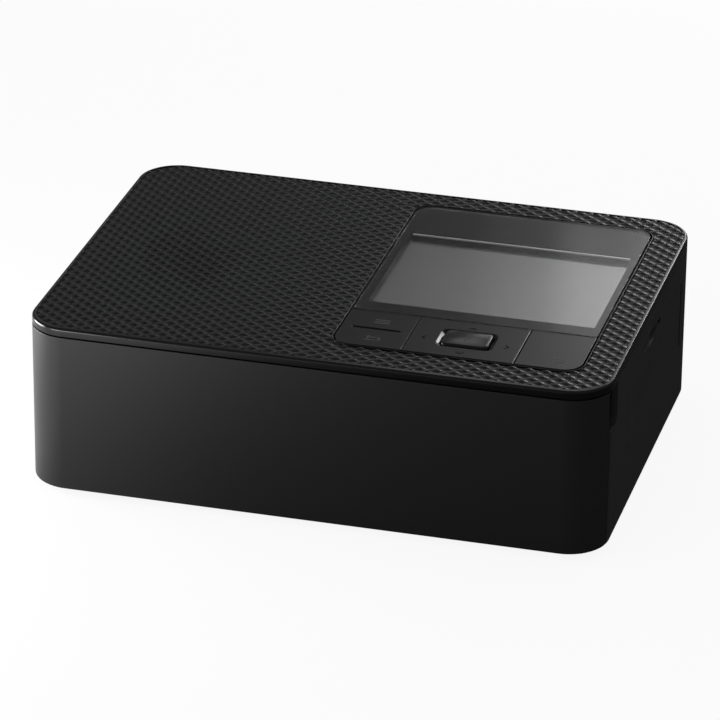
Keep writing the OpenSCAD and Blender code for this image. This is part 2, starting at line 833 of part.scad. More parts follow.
// Integrated circuits under the board and the plug between the two boards
module board_chips() color("#26262a") {
    chips = [[24, 18, 14, 14, 1.4], [50, 14, 18, 12, 1.2], [82, 18, 10, 10, 1],
        [22, 44, 12, 18, 2.2], [106, 12, 8, 6, 1.6], [52, 40, 6, 8, 3]];
    for (c = chips) translate([board_x0 + c[0], board_y0 + c[1], board_z - c[4]])
        cube([c[2], c[3], c[4]]);
    span([nav_cx - 8, key_y1 - 3, board_z + board_t],
        [nav_cx + 8, key_y1 + 1, key_board_top - key_board_t]);
}

module card_socket() color("#a9a9ad") {
    length = 30;
    side = 1.6;
    x1 = in_x - 0.3;
    difference() {
        span([x1 - length, card_y - card_w / 2 - side, card_z - card_h / 2 - 0.5],
            [x1, card_y + card_w / 2 + side, board_z]);
        span([x1 - length + 3, card_y - card_w / 2, card_z - card_h / 2],
            [x1 + 1, card_y + card_w / 2, card_z + card_h / 2]);
    }
}

module power_board() color("#1e5b33")
    difference() {
        span([usb_x - 9, peg_y - 4, port_z - port_t], [jack_x + 9, in_rear - 0.4, port_z]);
        for (x = peg_x) translate([x, peg_y, 0]) cylinder(h = top_z, r = 1.1);
    }

module dc_jack() color("#101010") {
    length = 12;
    bore = 9;
    difference() {
        span([jack_x - 4.6, in_rear - length, port_z], [jack_x + 4.6, in_rear - 0.1, jack_z + 4.6]);
        translate([jack_x, in_rear - bore, jack_z]) rotate([-90, 0, 0])
            difference() {
                cylinder(h = length, r = 3);
                translate([0, 0, -1]) cylinder(h = bore, r = 0.8);
            }
    }
}

module usb_port() color("#b9b9bd")
    difference() {
        translate([usb_x, in_rear - 8, usb_z]) rotate([-90, 0, 0])
            linear_extrude(9) rounded_rect(9, 3.3, 1.5);
        translate([usb_x, in_rear - 6, usb_z]) rotate([-90, 0, 0])
            linear_extrude(9) difference() {
                rounded_rect(8.3, 2.6, 1.2);
                square([6.6, 0.7], center = true);
            }
    }

// ---------- chassis ----------

// Side outline of a chassis plate, with room for the ink cassette where it slides in
module chassis_outline(open) {
    difference() {
        union() {
            translate([chassis_y0, base_top])
                square([chassis_y1 - chassis_y0, chassis_front_z1 - base_top]);
            translate([pivot_at[0] - 3.4, base_top])
                square([chassis_y1 - pivot_at[0] + 3.4, chassis_z1 - base_top]);
        }
        if (open) translate([supply_at[0] - supply_tube_r - 1.2, path_z + 0.8])
            square([take_at[0] + take_tube_r + 1.2 - supply_at[0] + supply_tube_r + 1.2 - 0.6,
                chassis_z1]);
        for (at = [feed_at, platen_at, pickup_at]) translate(at) circle(bush_r);
        translate(pinch_at) circle(holder_r + 0.01);
        translate(cam_at) circle(1.5 + run_fit);
        translate(pivot_at) circle(pivot_r + 0.01);
        if (!open) translate(take_at) circle(bush_r);
    }
}

bush_r = 3.2;
foot_flange = 7;

module chassis_left() color("#9a9c9f") {
    side_plate(-chassis_out, -chassis_in) chassis_outline(false);
    for (y = flange_y) chassis_flange(-1, y);
}

module chassis_right() color("#9a9c9f") {
    side_plate(chassis_in, chassis_out) chassis_outline(true);
    for (y = flange_y) chassis_flange(1, y);
    rod(latch_at, latch_pin_r, chassis_in + 0.2, latch_x1 + 0.2);
}

flange_y = [chassis_y0 + 4, chassis_y1 - 14];

module chassis_flange(sx, y) {
    difference() {
        translate([sx > 0 ? chassis_out - eps : -chassis_out - foot_flange + eps, y, base_top])
            cube([foot_flange, 10, chassis_t]);
        translate([sx * (chassis_out + foot_flange / 2), y + 5, 0]) cylinder(h = 20, r = 1.3);
    }
}

tie_at = [[platen_at[0] - 12, base_top + 4.8], [chassis_y0 + 4, chassis_front_z1 - 4.1],
    [platen_at[0] + 9, base_top + 4.8]];

module chassis_ties() color("#8b8d90")
    for (at = tie_at) rod(at, 2.2, -chassis_in, chassis_in);

module bearing_bushes() color("#d8d4c4")
    for (sx = [-1, 1], at = [feed_at, platen_at, pickup_at]) translate([sx * chassis_x, 0, 0])
        difference() {
            union() {
                rod(at, bush_r - 0.01, -chassis_t / 2, chassis_t / 2);
                rod(at, bush_r + 1, sx > 0 ? chassis_t / 2 : -1.4, sx > 0 ? 1.4 : -chassis_t / 2);
            }
            rod(at, shaft_r + run_fit, -4, 4);
        }

module paper_tray_guide() color("#2a2a2c") {
    y0 = bezel_y + bezel_t;
    y1 = feed_at[0] - 11;
    side_t = 1.5;
    gap = 0.3;
    span([-bay_w / 2 - side_t - gap, y0, base_top], [bay_w / 2 + side_t + gap, y1, bay_z0]);
    for (side = [0, 1]) mirror([side, 0, 0])
        span([bay_w / 2 + gap, y0, base_top], [bay_w / 2 + gap + side_t, y1, path_z + 2]);
}

// Guide plates under the paper, before, between and behind the rollers
module paper_guides() color("#2a2a2c") {
    top = path_z - 1.2;
    guide_t = 1.4;
    lanes = [[feed_at[0] - 10.6, feed_at[0] - feed_r - 0.6],
        [feed_at[0] + feed_r + 0.6, platen_at[0] - platen_r - 0.8],
        [platen_at[0] + platen_r + 0.8, in_rear - 0.3]];
    for (y = lanes)
        span([-chassis_in, y[0], top - guide_t], [chassis_in, y[1], top]);
}

// ---------- rollers and feed gears ----------

module pickup_shaft() color("#b5b5b8")
    rod(pickup_at, shaft_r, -plane_b - 0.2, chassis_out + 1.5);

module pickup_rubber() color("#3c3c40")
    difference() {
        rod(pickup_at, pickup_r, -pickup_w / 2, pickup_w / 2);
        rod(pickup_at, shaft_r, -pickup_w, pickup_w);
    }

module pickup_gear() color("#d9d6c9")
    gear(pickup_at, pickup_n, mesh(feed_small_n, 0, pickup_n, pickup_dir), plane_a, shaft_r);

module feed_roller() color("#9fa1a5") {
    rod(feed_at, feed_r, -paper_w / 2 - 6, paper_w / 2 + 6);
    rod(feed_at, shaft_r, -plate_x + 0.4, chassis_out + 1.5);
}

module feed_gear() color("#d9d6c9") {
    gear(feed_at, feed_small_n, 0, plane_a, shaft_r);
    gear(feed_at, feed_big_n, 0, plane_b, shaft_r);
    difference() {
        rod(feed_at, feed_small_n * gear_m / 2 - 3, -plane_b, -plane_a - gear_t);
        rod(feed_at, shaft_r, -plane_b - 1, -plane_a);
    }
}

pinch_end = paper_w / 2 + 10;
holder_t = 2.4;
holder_r = 2.6;

module pinch_roller() color("#3c3c40") {
    rod(pinch_at, feed_r, -paper_w / 2 - 2, paper_w / 2 + 2);
    rod(pinch_at, 1.5, -pinch_end - holder_t, pinch_end + holder_t);
}

// Holders that hang the pinch roller from the chassis plates
module pinch_holders() color("#2a2a2c")
    for (side = [0, 1]) mirror([side, 0, 0]) difference() {
        union() {
            rod(pinch_at, holder_r, pinch_end, chassis_in);
            rod(pinch_at, holder_r, chassis_in - eps, chassis_out);
        }
        rod(pinch_at, 1.5 + run_fit, pinch_end - 1, pinch_end + holder_t + 0.4);
    }

module platen_shaft() color("#b5b5b8")
    rod(platen_at, shaft_r, -chassis_out - 0.9, chassis_out + 0.9);

module platen_rubber() color("#2b2b2e")
    difference() {
        rod(platen_at, platen_r, -paper_w / 2 - 4, paper_w / 2 + 4);
        rod(platen_at, shaft_r, -paper_w, paper_w);
    }

// ---------- motors ----------

motor_r = 7;
feed_motor_r = 10;
motor_l = in_x - plate_x - plate_t - 0.6;
head_motor_l = motor_l - 1.4;
stand_y = [chassis_y0 + 3.5, platen_at[0] - 7, in_rear - 7];
stand_at = [[stand_y[0], base_top + 7.8], [stand_y[0], chassis_front_z1 - 4],
    [stand_y[1], base_top + 7.8], [stand_y[1], chassis_front_z1 - 2.2],
    [stand_y[2], base_top + 7.8]];

module motor_plate() color("#8b8d90") {
    difference() {
        side_plate(-plate_x - plate_t, -plate_x) difference() {
            translate([chassis_y0, base_top + 3.8])
                square([chassis_y1 - chassis_y0, chassis_front_z1 - base_top - 3.8]);
            for (at = [feed_motor_at, ribbon_motor_at, head_motor_at])
                translate(at) circle(3.4);
        }
    }
    for (at = stand_at) rod(at, 1.9, -plate_x, -chassis_out);
}

module motor(at, r, length) {
    rod(at, r, -plate_x - plate_t - length, -plate_x - plate_t);
    rod(at, 3.2, -plate_x - plate_t - eps, -plate_x - 0.3);
}

module feed_motor() color("#77797d") motor(feed_motor_at, feed_motor_r, motor_l);
module ribbon_motor() color("#77797d") motor(ribbon_motor_at, motor_r, motor_l);
module head_motor() color("#77797d") motor(head_motor_at, motor_r, head_motor_l);

// Pinion on its motor's shaft, meshing with a gear of n teeth in direction d
module pinion(at, n, d, x_in) {
    gear(at, pinion_n, mesh(n, 0, pinion_n, d), x_in, 0);
    rod(at, 0.8, -plate_x, -x_in - gear_t + eps);
}

module feed_pinion() color("#d9d6c9") pinion(feed_motor_at, feed_big_n, feed_motor_dir, plane_b);
module ribbon_pinion() color("#d9d6c9") pinion(ribbon_motor_at, take_n, ribbon_dir, plane_a);
module head_pinion() color("#d9d6c9") pinion(head_motor_at, cam_n, head_motor_dir, plane_b);

// ---------- ink cassette ----------

spool_end = ink_x - 1.6;
hub_r = 1.8;

module ink_cassette() color("#2f2f33") {
    strip_z0 = film_z + 0.7;
    difference() {
        union() {
            ink_tube(supply_at, supply_tube_r, 1);
            ink_tube(take_at, take_tube_r, -1);
            ink_end(ink_x - 1.2, ink_x + 1.2);
            for (at = [supply_at, take_at]) rod(at, at[0] < platen_at[0] ? supply_tube_r
                : take_tube_r, -ink_x, -ink_x + 1.2);
            span([-ink_x, supply_at[0], strip_z0], [-ink_x + 3, take_at[0], strip_z0 + 0.8]);
            span([-ink_x, take_at[0] - 2, strip_z0], [-ink_x + 1.2, take_at[0] + 2, take_at[1] - 4]);
            ink_handle();
        }
        for (at = [supply_at, take_at])
            rod(at, hub_r + run_fit, -ink_x - 1, ink_x + 0.6);
    }
}

// Half-open tube round a spool, with a slot below towards the head
module ink_tube(at, r, dir) {
    difference() {
        rod(at, r, -ink_x, ink_x);
        rod(at, r - ink_wall, -ink_x - 1, ink_x + 1);
        translate([-ink_x + 1.2, at[0] + (dir > 0 ? -1 : -r - 1), at[1] - r - 1])
            cube([2 * ink_x - 2.4, r + 2, r - 1.6]);
    }
}

// End of the cassette that faces the door
module ink_end(x0, x1) {
    for (at = [supply_at, take_at])
        rod(at, at[0] < platen_at[0] ? supply_tube_r : take_tube_r, x0, x1);
    span([x0, supply_at[0], supply_at[1] - 4.6], [x1, take_at[0], supply_at[1] + 5]);
}

module ink_handle() {
    span([ink_x + 1, supply_at[0] + 5, supply_at[1] - 3], [chassis_out - 0.3, take_at[0] - 1, supply_at[1] - 1]);
    span([ink_x + 1, supply_at[0] + 5, supply_at[1] + 2], [chassis_out - 0.3, take_at[0] - 1, supply_at[1] + 4]);
    span([chassis_out - 1.8, supply_at[0] + 5, supply_at[1] - 3],
        [chassis_out - 0.3, take_at[0] - 1, supply_at[1] + 4]);
}

module spool(at, roll_r) {
    rod(at, core_r, -spool_end, ink_x - 1.5);
    rod(at, roll_r, -spool_end + 3, ink_x - 4.5);
    rod(at, hub_r, -spool_end - 1.4, ink_x + 0.3);
}

module supply_spool() color("#7a5a2a") spool(supply_at, film_roll_r);

module take_up_spool() color("#7a5a2a") {
    spool(take_at, core_r + 0.8);
    rod(take_at, hub_r, -ink_x - 1.6, -ink_x + 0.5);
}

// Drive gear whose dog reaches through the chassis into the take-up spool
module take_up_gear() color("#d9d6c9") {
    gear(take_at, take_n, 0, plane_a, 0);
    rod(take_at, bush_r - run_fit, -plane_a - 0.2, -chassis_in + 0.4);
    rod(take_at, hub_r, -chassis_in, -ink_x - 1.6);
}

module ink_ribbon() color("#5c3a1c") {
    y0 = supply_at[0];
    y1 = take_at[0];
    z0 = supply_at[1] - film_roll_r - touch_gap - film_t;
    z1 = take_at[1] - core_r - 0.8 - touch_gap - film_t;
    ya = y0 + 5;
    yb = y1 - 5.6;
    side_plate(-paper_w / 2 - 2, paper_w / 2 + 2) polygon([[y0, z0], [ya, film_z], [yb, film_z], [y1, z1],
        [y1, z1 + film_t], [yb, film_z + film_t], [ya, film_z + film_t], [y0, z0 + film_t]]);
}

latch_at = [chassis_y1 - 5.4, take_at[1] - 4];
latch_pin_r = 1.2;
latch_x0 = chassis_out + 0.3;
latch_x1 = latch_x0 + 1.6;

module cassette_latch() color("#3a6f46") {
    tip_y = take_at[0] - 4;
    side_plate(latch_x0, latch_x1) difference() {
        union() {
            translate(latch_at) circle(2.8);
            translate([tip_y, latch_at[1] - 1.4]) square([latch_at[0] - tip_y, 2.8]);
            translate([tip_y, latch_at[1] - 1.4]) square([3, 7]);
        }
        translate(latch_at) circle(latch_pin_r + run_fit);
    }
}

// ---------- head and cam ----------

cam_shaft_r = 1.5;

// Cam whose radius grows evenly, so the arm rises in step with the shaft
module cam_outline() {
    points = 24;
    union() {
        circle(cam_r - 0.05);
        polygon(concat([[0, 0]], [for (i = [0:points])
            let (a = 105 - i * (cam_sweep + 30) / points,
                r = cam_r + cam_rise * (90 - a) / cam_sweep)
            [r * cos(a), r * sin(a)]]));
    }
}

module cam_shaft() color("#a6a8ab") {
    rod(cam_at, cam_shaft_r, -plane_b - gear_t, chassis_out + 0.8);
    for (sx = [-1, 1]) translate([sx * arm_x, 0, 0])
        side_plate(-0.8, 0.8) translate(cam_at) cam_outline();
    gear(cam_at, cam_n, 0, plane_b, cam_shaft_r - eps);
}

module head_arm() color("#9a9c9f") {
    tail_y = cam_at[0] + 2.6;
    difference() {
        union() {
            for (sx = [-1, 1]) translate([sx * arm_x, 0, 0])
                side_plate(-arm_t / 2, arm_t / 2)
                    translate([head_y0 - 1, arm_z0])
                        square([tail_y - head_y0 + 1, arm_z1 - arm_z0]);
            span([-arm_x, head_y0, arm_z0], [arm_x, head_y0 + head_w, arm_z0 + 1.2]);
            span([-arm_x, head_y0, arm_z0], [arm_x, head_y0 + 1.2, arm_z1]);
        }
        rod(pivot_at, pivot_r + run_fit, -chassis_x, chassis_x);
    }
}

module head_pivot() color("#b5b5b8")
    rod(pivot_at, pivot_r, -chassis_out - 0.6, chassis_out + 0.6);

module heat_sink() color("#b9bbbe") {
    fins = 25;
    length = paper_w;
    z0 = head_z + head_h;
    difference() {
        span([-length / 2, head_y0, z0], [length / 2, head_y0 + head_w, arm_z0]);
        for (i = [1:fins - 1]) translate([-length / 2 + i * length / fins, 0, 0])
            span([-1.1, head_y0 - 1, z0 + 2], [1.1, head_y0 + head_w / 2 - 1.2, arm_z0 - 1.6]);
    }
}

module thermal_head() color("#cfc7b4") {
    length = paper_w + 6;
    span([-length / 2, head_y0, head_z + 0.6], [length / 2, head_y0 + head_w, head_z + head_h]);
    span([-length / 2 + 2, platen_at[0] - 1, head_z], [length / 2 - 2, platen_at[0] + 1, head_z + 0.7]);
}

top_cover();
body_case();
rear_grille();
finger_cup();
base_plate();
front_bezel();
front_cover();
ink_door();
ink_door_pin();
rubber_feet();
screws();
panel_frame();
screen_window();
lcd_panel();
menu_back_key();
nav_rubber();
nav_key();
ok_button();
power_key();
key_board();
key_switches();
main_board();
board_chips();
card_socket();
power_board();
dc_jack();
usb_port();
chassis_left();
chassis_right();
chassis_ties();
paper_tray_guide();
paper_guides();
pickup_shaft();
pickup_rubber();
pickup_gear();
feed_roller();
feed_gear();
pinch_roller();
pinch_holders();
platen_shaft();
platen_rubber();
bearing_bushes();
motor_plate();
feed_motor();
feed_pinion();
ribbon_motor();
ribbon_pinion();
head_motor();
head_pinion();
take_up_gear();
take_up_spool();
supply_spool();
ink_cassette();
ink_ribbon();
cassette_latch();
cam_shaft();
head_arm();
head_pivot();
heat_sink();
thermal_head();
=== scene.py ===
import math

import bmesh
import bpy
from mathutils import Matrix, Vector


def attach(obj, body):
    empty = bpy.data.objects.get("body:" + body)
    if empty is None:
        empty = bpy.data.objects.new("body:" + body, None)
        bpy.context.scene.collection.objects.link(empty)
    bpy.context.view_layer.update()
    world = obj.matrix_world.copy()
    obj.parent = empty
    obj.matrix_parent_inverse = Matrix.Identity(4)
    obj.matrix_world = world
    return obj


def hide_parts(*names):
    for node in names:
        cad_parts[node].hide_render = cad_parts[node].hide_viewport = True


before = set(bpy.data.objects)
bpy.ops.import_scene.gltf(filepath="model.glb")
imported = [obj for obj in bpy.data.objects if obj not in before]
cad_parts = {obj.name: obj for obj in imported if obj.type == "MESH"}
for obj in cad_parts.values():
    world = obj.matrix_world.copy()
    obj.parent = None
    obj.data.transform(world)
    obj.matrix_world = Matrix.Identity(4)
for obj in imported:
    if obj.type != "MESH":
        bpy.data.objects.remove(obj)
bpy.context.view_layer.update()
scene = bpy.context.scene
scene.view_settings.view_transform = "Standard"
mm = 0.001  # shapes are drawn in millimetres and scaled once, when a piece is finished
bite = 0.01  # loose blocks of one piece reach this far into each other

# Outer sizes that most of the pieces share
case = {"x": 91.1, "front": -66.5, "rear": 66.5, "corner": 13.0, "wall": 2.0, "foot": 2.2,
        "bodyTop": 53.95, "seam": 54.2, "top": 56.8, "lowEdge": 1.0, "rimEdge": 0.8}
panel = {"x0": 2.9, "x1": 79.85, "y0": -52.6, "y1": 56.1, "corner": 5.7, "gap": 0.5,
         "under": 55.9, "top": 57.1, "plateLift": 0.03, "keyRear": -27.4, "keySeam": 0.25,
         "menuEnd": 25.0, "navEnd": 59.8, "keyY": -40.0}


# Materials

def linearColour(text):
    parts = [int(text[i:i + 2], 16) / 255 for i in (1, 3, 5)]
    return [c / 12.92 if c <= 0.04045 else ((c + 0.055) / 1.055) ** 2.4 for c in parts] + [1.0]


def addNode(tree, kind, settings=None, links=None):
    node = tree.nodes.new(kind)
    for key, value in (settings or {}).items():
        if isinstance(key, int) or key in node.inputs:
            node.inputs[key].default_value = value
        else:
            setattr(node, key, value)
    for key, source in (links or {}).items():
        tree.links.new(source, node.inputs[key])
    return node


def blankTree(owner):
    owner.use_nodes = True
    owner.node_tree.nodes.clear()
    return owner.node_tree


def startMaterial(name, look):
    material = bpy.data.materials.new(name)
    tree = blankTree(material)
    settings = {"Metallic": look.get("metallic", 0.0), "Roughness": look["roughness"]}
    if not look.get("metallic"):
        settings["IOR"] = look.get("ior", 1.5)
        settings["Specular IOR Level"] = look.get("specular", 0.5)
    shader = addNode(tree, "ShaderNodeBsdfPrincipled", settings)
    addNode(tree, "ShaderNodeOutputMaterial", links={"Surface": shader.outputs["BSDF"]})
    place = addNode(tree, "ShaderNodeTexCoord").outputs["Object"]
    return material, tree, shader, place


# Colour drifts softly between two tones and the roughness wanders a little around its value
def driftingTone(tree, shader, place, look):
    drift = addNode(tree, "ShaderNodeTexNoise", {"Scale": 1 / (look["drift"] * mm), "Detail": 3.0},
                    {"Vector": place})
    darker, lighter = (linearColour(tone) for tone in look["tones"])
    tone = addNode(tree, "ShaderNodeMix", {"data_type": "RGBA", 6: darker, 7: lighter},
                   {0: drift.outputs["Fac"]})
    rough = addNode(tree, "ShaderNodeMapRange", {"To Min": look["roughness"] - look["wander"],
                                                 "To Max": look["roughness"] + look["wander"]},
                    {"Value": drift.outputs["Fac"]})
    tree.links.new(tone.outputs[2], shader.inputs["Base Color"])
    tree.links.new(rough.outputs["Result"], shader.inputs["Roughness"])


# Moulded, cast or coated faces: an even tone with the fine grain that an eroded mould leaves, and next to no
# grain where the tool or the coating is smooth. The grain is drawn coarser than the real one, so that it shows
def mouldedPlastic(name, look):
    material, tree, shader, place = startMaterial(name, look)
    driftingTone(tree, shader, place, look)
    grain = addNode(tree, "ShaderNodeTexNoise", {"Scale": 1 / (look["grain"] * mm), "Detail": 2.0,
                                                 "Roughness": 0.6}, {"Vector": place})
    bump = addNode(tree, "ShaderNodeBump", {"Strength": look["strength"], "Distance": look["depth"] * mm},
                   {"Height": grain.outputs["Fac"]})
    tree.links.new(bump.outputs["Normal"], shader.inputs["Normal"])
    return material


# Ground or drawn steel and aluminium: fine lines along one axis that stretch the highlight, drawn coarser than
# real ones
def workedMetal(name, look):
    material, tree, shader, place = startMaterial(name, look)
    driftingTone(tree, shader, place, look)
    stretch = addNode(tree, "ShaderNodeMapping", {"Scale": look["lines"]}, {"Vector": place})
    lines = addNode(tree, "ShaderNodeTexNoise", {"Scale": 1 / (look["pitch"] * mm), "Detail": 2.0},
                    {"Vector": stretch.outputs["Vector"]})
    bump = addNode(tree, "ShaderNodeBump", {"Strength": 0.25, "Distance": look["depth"] * mm},
                   {"Height": lines.outputs["Fac"]})
    tree.links.new(bump.outputs["Normal"], shader.inputs["Normal"])
    return material


# Values that most plastics share; a look names only what differs
plasticUsual = {"wander": 0.04, "grain": 0.4, "strength": 0.2, "depth": 0.02}
plasticLooks = {
    # moulded ABS, spark-eroded: soft satin black that greys towards the light; its tone is set well above the
    # top's black so that the side walls read lit, painted light
    "paintedLightBlackAbs": {"tones": ("#212123", "#232325"), "roughness": 0.42, "wander": 0.02, "drift": 60.0,
                        "grain": 0.35, "strength": 0.12},
    # the same ABS on the cover that faces front, with a softer grain; its tone is a lighter copy of the top's
    # black so that the front reads lit from the left, painted light, though darker than the body's
    "paintedLightCoverAbs": {"tones": ("#151516", "#171718"), "roughness": 0.4, "wander": 0.02, "drift": 80.0,
                        "grain": 0.35, "strength": 0.08},
    # the textured top: smooth facets with harder highlights
    "texturedTopAbs": {"tones": ("#070708", "#09090a"), "roughness": 0.2, "wander": 0.02, "drift": 40.0,
                       "grain": 0.3, "strength": 0.05, "depth": 0.01},
    # matt ABS of the base and the bezel: no shine
    "mattBaseAbs": {"tones": ("#1a1a1b", "#1f1f20"), "roughness": 0.62, "drift": 30.0, "strength": 0.3,
                    "depth": 0.04},
    # black polycarbonate of the inner frames, toned extra dark so that the finger cup in the side notch reads
    # black: painted shade
    "innerPolycarbonateAndNotchShade": {"tones": ("#0a0a0b", "#0c0c0d"), "roughness": 0.5, "drift": 25.0, "depth": 0.03},
    # polished ABS of the keys: a clean dark gloss
    "polishedKeyAbs": {"tones": ("#070708", "#08080a"), "roughness": 0.2, "wander": 0.02, "drift": 30.0,
                       "grain": 0.6, "strength": 0.03, "depth": 0.01},
    # silicone pad under the four-way key
    "mouldedSilicone": {"tones": ("#3a3a3b", "#424243"), "roughness": 0.7, "wander": 0.05, "drift": 10.0,
                        "grain": 0.3, "strength": 0.3, "depth": 0.03},
    # rubber of the feet: dull, a little dusty
    "mouldedFootRubber": {"tones": ("#101010", "#1a1a19"), "roughness": 0.85, "wander": 0.06, "drift": 8.0,
                          "grain": 0.3, "strength": 0.5, "depth": 0.04},
    # ground rubber of the rollers: even grey with a velvety face
    "groundRollerRubber": {"tones": ("#2b2b2d", "#343436"), "roughness": 0.75, "wander": 0.05, "drift": 12.0,
                           "grain": 0.25, "strength": 0.4, "depth": 0.03},
    # epoxy of the chip housings
    "mouldedEpoxy": {"tones": ("#202023", "#27272a"), "roughness": 0.55, "drift": 6.0, "grain": 0.2,
                     "strength": 0.3},
    # acetal of the gears: waxy cream
    "mouldedAcetal": {"tones": ("#dcd8c8", "#e4e1d4"), "roughness": 0.38, "drift": 9.0, "strength": 0.1},
    # acetal of the bushes, a shade darker
    "turnedAcetal": {"tones": ("#cfcab6", "#d8d4c3"), "roughness": 0.42, "drift": 6.0, "grain": 0.3},
    # polystyrene of the ink cassette
    "mouldedPolystyrene": {"tones": ("#2e2e32", "#35353a"), "roughness": 0.45, "drift": 18.0},
    # green latch that marks where to press
    "greenLatchAbs": {"tones": ("#2c6a3c", "#337545"), "roughness": 0.42, "drift": 10.0},
    # dye film: glossy brown with a faint ripple
    "coatedDyeFilm": {"tones": ("#5a3018", "#6b3b1e"), "roughness": 0.18, "wander": 0.05, "drift": 14.0,
                      "grain": 3.0, "strength": 0.25, "depth": 0.05},
    # glazed alumina of the print head
    "glazedAlumina": {"tones": ("#cbc5b0", "#d6d1bf"), "roughness": 0.16, "wander": 0.03, "drift": 8.0,
                      "grain": 0.8, "strength": 0.08, "depth": 0.01},
    # grey marks on the keys: dull ink
    "printedGreyInk": {"tones": ("#3f3f41", "#454547"), "roughness": 0.6, "wander": 0.03, "drift": 3.0,
                       "grain": 0.2, "strength": 0.1, "depth": 0.005},
    # black mask ink behind the window, and the dark arrows of the four-way key
    "printedMaskInk": {"tones": ("#050506", "#060607"), "specular": 0.1, "roughness": 0.5, "wander": 0.03,
                       "drift": 20.0, "grain": 0.2, "strength": 0.05, "depth": 0.005},
}
metalUsual = {"metallic": 1.0, "depth": 0.01}
metalLooks = {
    # zinc-plated screws
    "zincPlatedSteel": {"tones": ("#8f9194", "#a0a2a4"), "roughness": 0.38, "wander": 0.06, "drift": 3.0,
                        "lines": (1, 1, 0.3), "pitch": 0.15},
    # ground shafts and pins
    "groundSteel": {"tones": ("#b4b6b9", "#c2c4c6"), "roughness": 0.24, "wander": 0.04, "drift": 6.0,
                    "lines": (6, 1, 1), "pitch": 0.5, "depth": 0.008},
    # zinc-coated sheet with a faint spangle
    "zincCoatedSheet": {"tones": ("#9fa2a6", "#b1b4b7"), "roughness": 0.42, "wander": 0.08, "drift": 4.0,
                        "lines": (1, 0.15, 1), "pitch": 0.4},
    # deep-drawn motor cans
    "drawnMotorSteel": {"tones": ("#7d7f83", "#8c8e92"), "roughness": 0.34, "wander": 0.05, "drift": 5.0,
                        "lines": (0.2, 1, 1), "pitch": 0.3, "depth": 0.008},
    # satin foil round the light guide of the display
    "satinFoil": {"tones": ("#dadbde", "#e2e3e6"), "roughness": 0.3, "wander": 0.02, "drift": 20.0,
                  "lines": (0.2, 1, 1), "pitch": 0.4, "depth": 0.004},
    # extruded heat sink with die lines along its length
    "extrudedAluminium": {"tones": ("#c3c5c8", "#cfd1d3"), "roughness": 0.36, "wander": 0.05, "drift": 7.0,
                          "lines": (0.06, 1, 1), "pitch": 0.25},
}
materials = {name: mouldedPlastic(name, {**plasticUsual, **look}) for name, look in plasticLooks.items()}
materials.update({name: workedMetal(name, {**metalUsual, **look}) for name, look in metalLooks.items()})

# Solder mask over glass laminate: the copper tracks show as a lighter green net
boardLook = {"mask": "#12391f", "track": "#1c5a30", "roughness": 0.32, "trackPitch": 1.3,
             "trackEdge": (0.08, 0.12), "trackHeight": 0.03}


def solderMaskBoard():
    material, tree, shader, place = startMaterial("solderMaskLaminate", boardLook)
    tracks = addNode(tree, "ShaderNodeTexVoronoi", {"feature": "DISTANCE_TO_EDGE", "distance": "MANHATTAN",
                                                    "Scale": 1 / (boardLook["trackPitch"] * mm)},
                     {"Vector": place})
    least, most = boardLook["trackEdge"]
    edge = addNode(tree, "ShaderNodeMapRange", {"From Min": least, "From Max": most, "To Min": 1.0,
                                                "To Max": 0.0}, {"Value": tracks.outputs["Distance"]})
    tone = addNode(tree, "ShaderNodeMix", {"data_type": "RGBA", 6: linearColour(boardLook["mask"]),
                                           7: linearColour(boardLook["track"])}, {0: edge.outputs["Result"]})
    bump = addNode(tree, "ShaderNodeBump", {"Strength": 0.4, "Distance": boardLook["trackHeight"] * mm},
                   {"Height": edge.outputs["Result"]})
    tree.links.new(tone.outputs[2], shader.inputs["Base Color"])
    tree.links.new(bump.outputs["Normal"], shader.inputs["Normal"])
    return material


# Cast acrylic, polished: clear, with only a breath of haze in the gloss. The low index makes both faces
# together mirror as much as the front of a plate whose back is printed
windowLook = {"colour": "#ffffff", "roughness": 0.1, "wander": 0.02, "ior": 1.2, "specular": 0.5,
              "haze": 45.0}


def polishedAcrylic():
    material, tree, shader, place = startMaterial("polishedAcrylic", windowLook)
    shader.inputs["Base Color"].default_value = linearColour(windowLook["colour"])
    shader.inputs["Transmission Weight"].default_value = 1.0
    haze = addNode(tree, "ShaderNodeTexNoise", {"Scale": 1 / (windowLook["haze"] * mm)}, {"Vector": place})
    rough = addNode(tree, "ShaderNodeMapRange", {"To Min": windowLook["roughness"] - windowLook["wander"],
                                                 "To Max": windowLook["roughness"] + windowLook["wander"]},
                    {"Value": haze.outputs["Fac"]})
    tree.links.new(rough.outputs["Result"], shader.inputs["Roughness"])
    return material


# Polariser film over the switched-off display: a grey sheen, because its matt face blurs what it mirrors
displayLook = {"tones": ("#a9a9ab", "#acacae"), "metallic": 0.9, "roughness": 0.22, "wander": 0.02,
               "drift": 30.0, "grain": 0.25, "strength": 0.02, "depth": 0.005}
materials["solderMaskLaminate"] = solderMaskBoard()
materials["polishedAcrylic"] = polishedAcrylic()
materials["polariserFilm"] = mouldedPlastic("polariserFilm", displayLook)
print("materials:", len(materials))


# Shape helpers

def wholeOf(shape):
    return shape.verts[:] + shape.edges[:] + shape.faces[:]


def vertsOf(geom):
    return [g for g in geom if isinstance(g, bmesh.types.BMVert)]


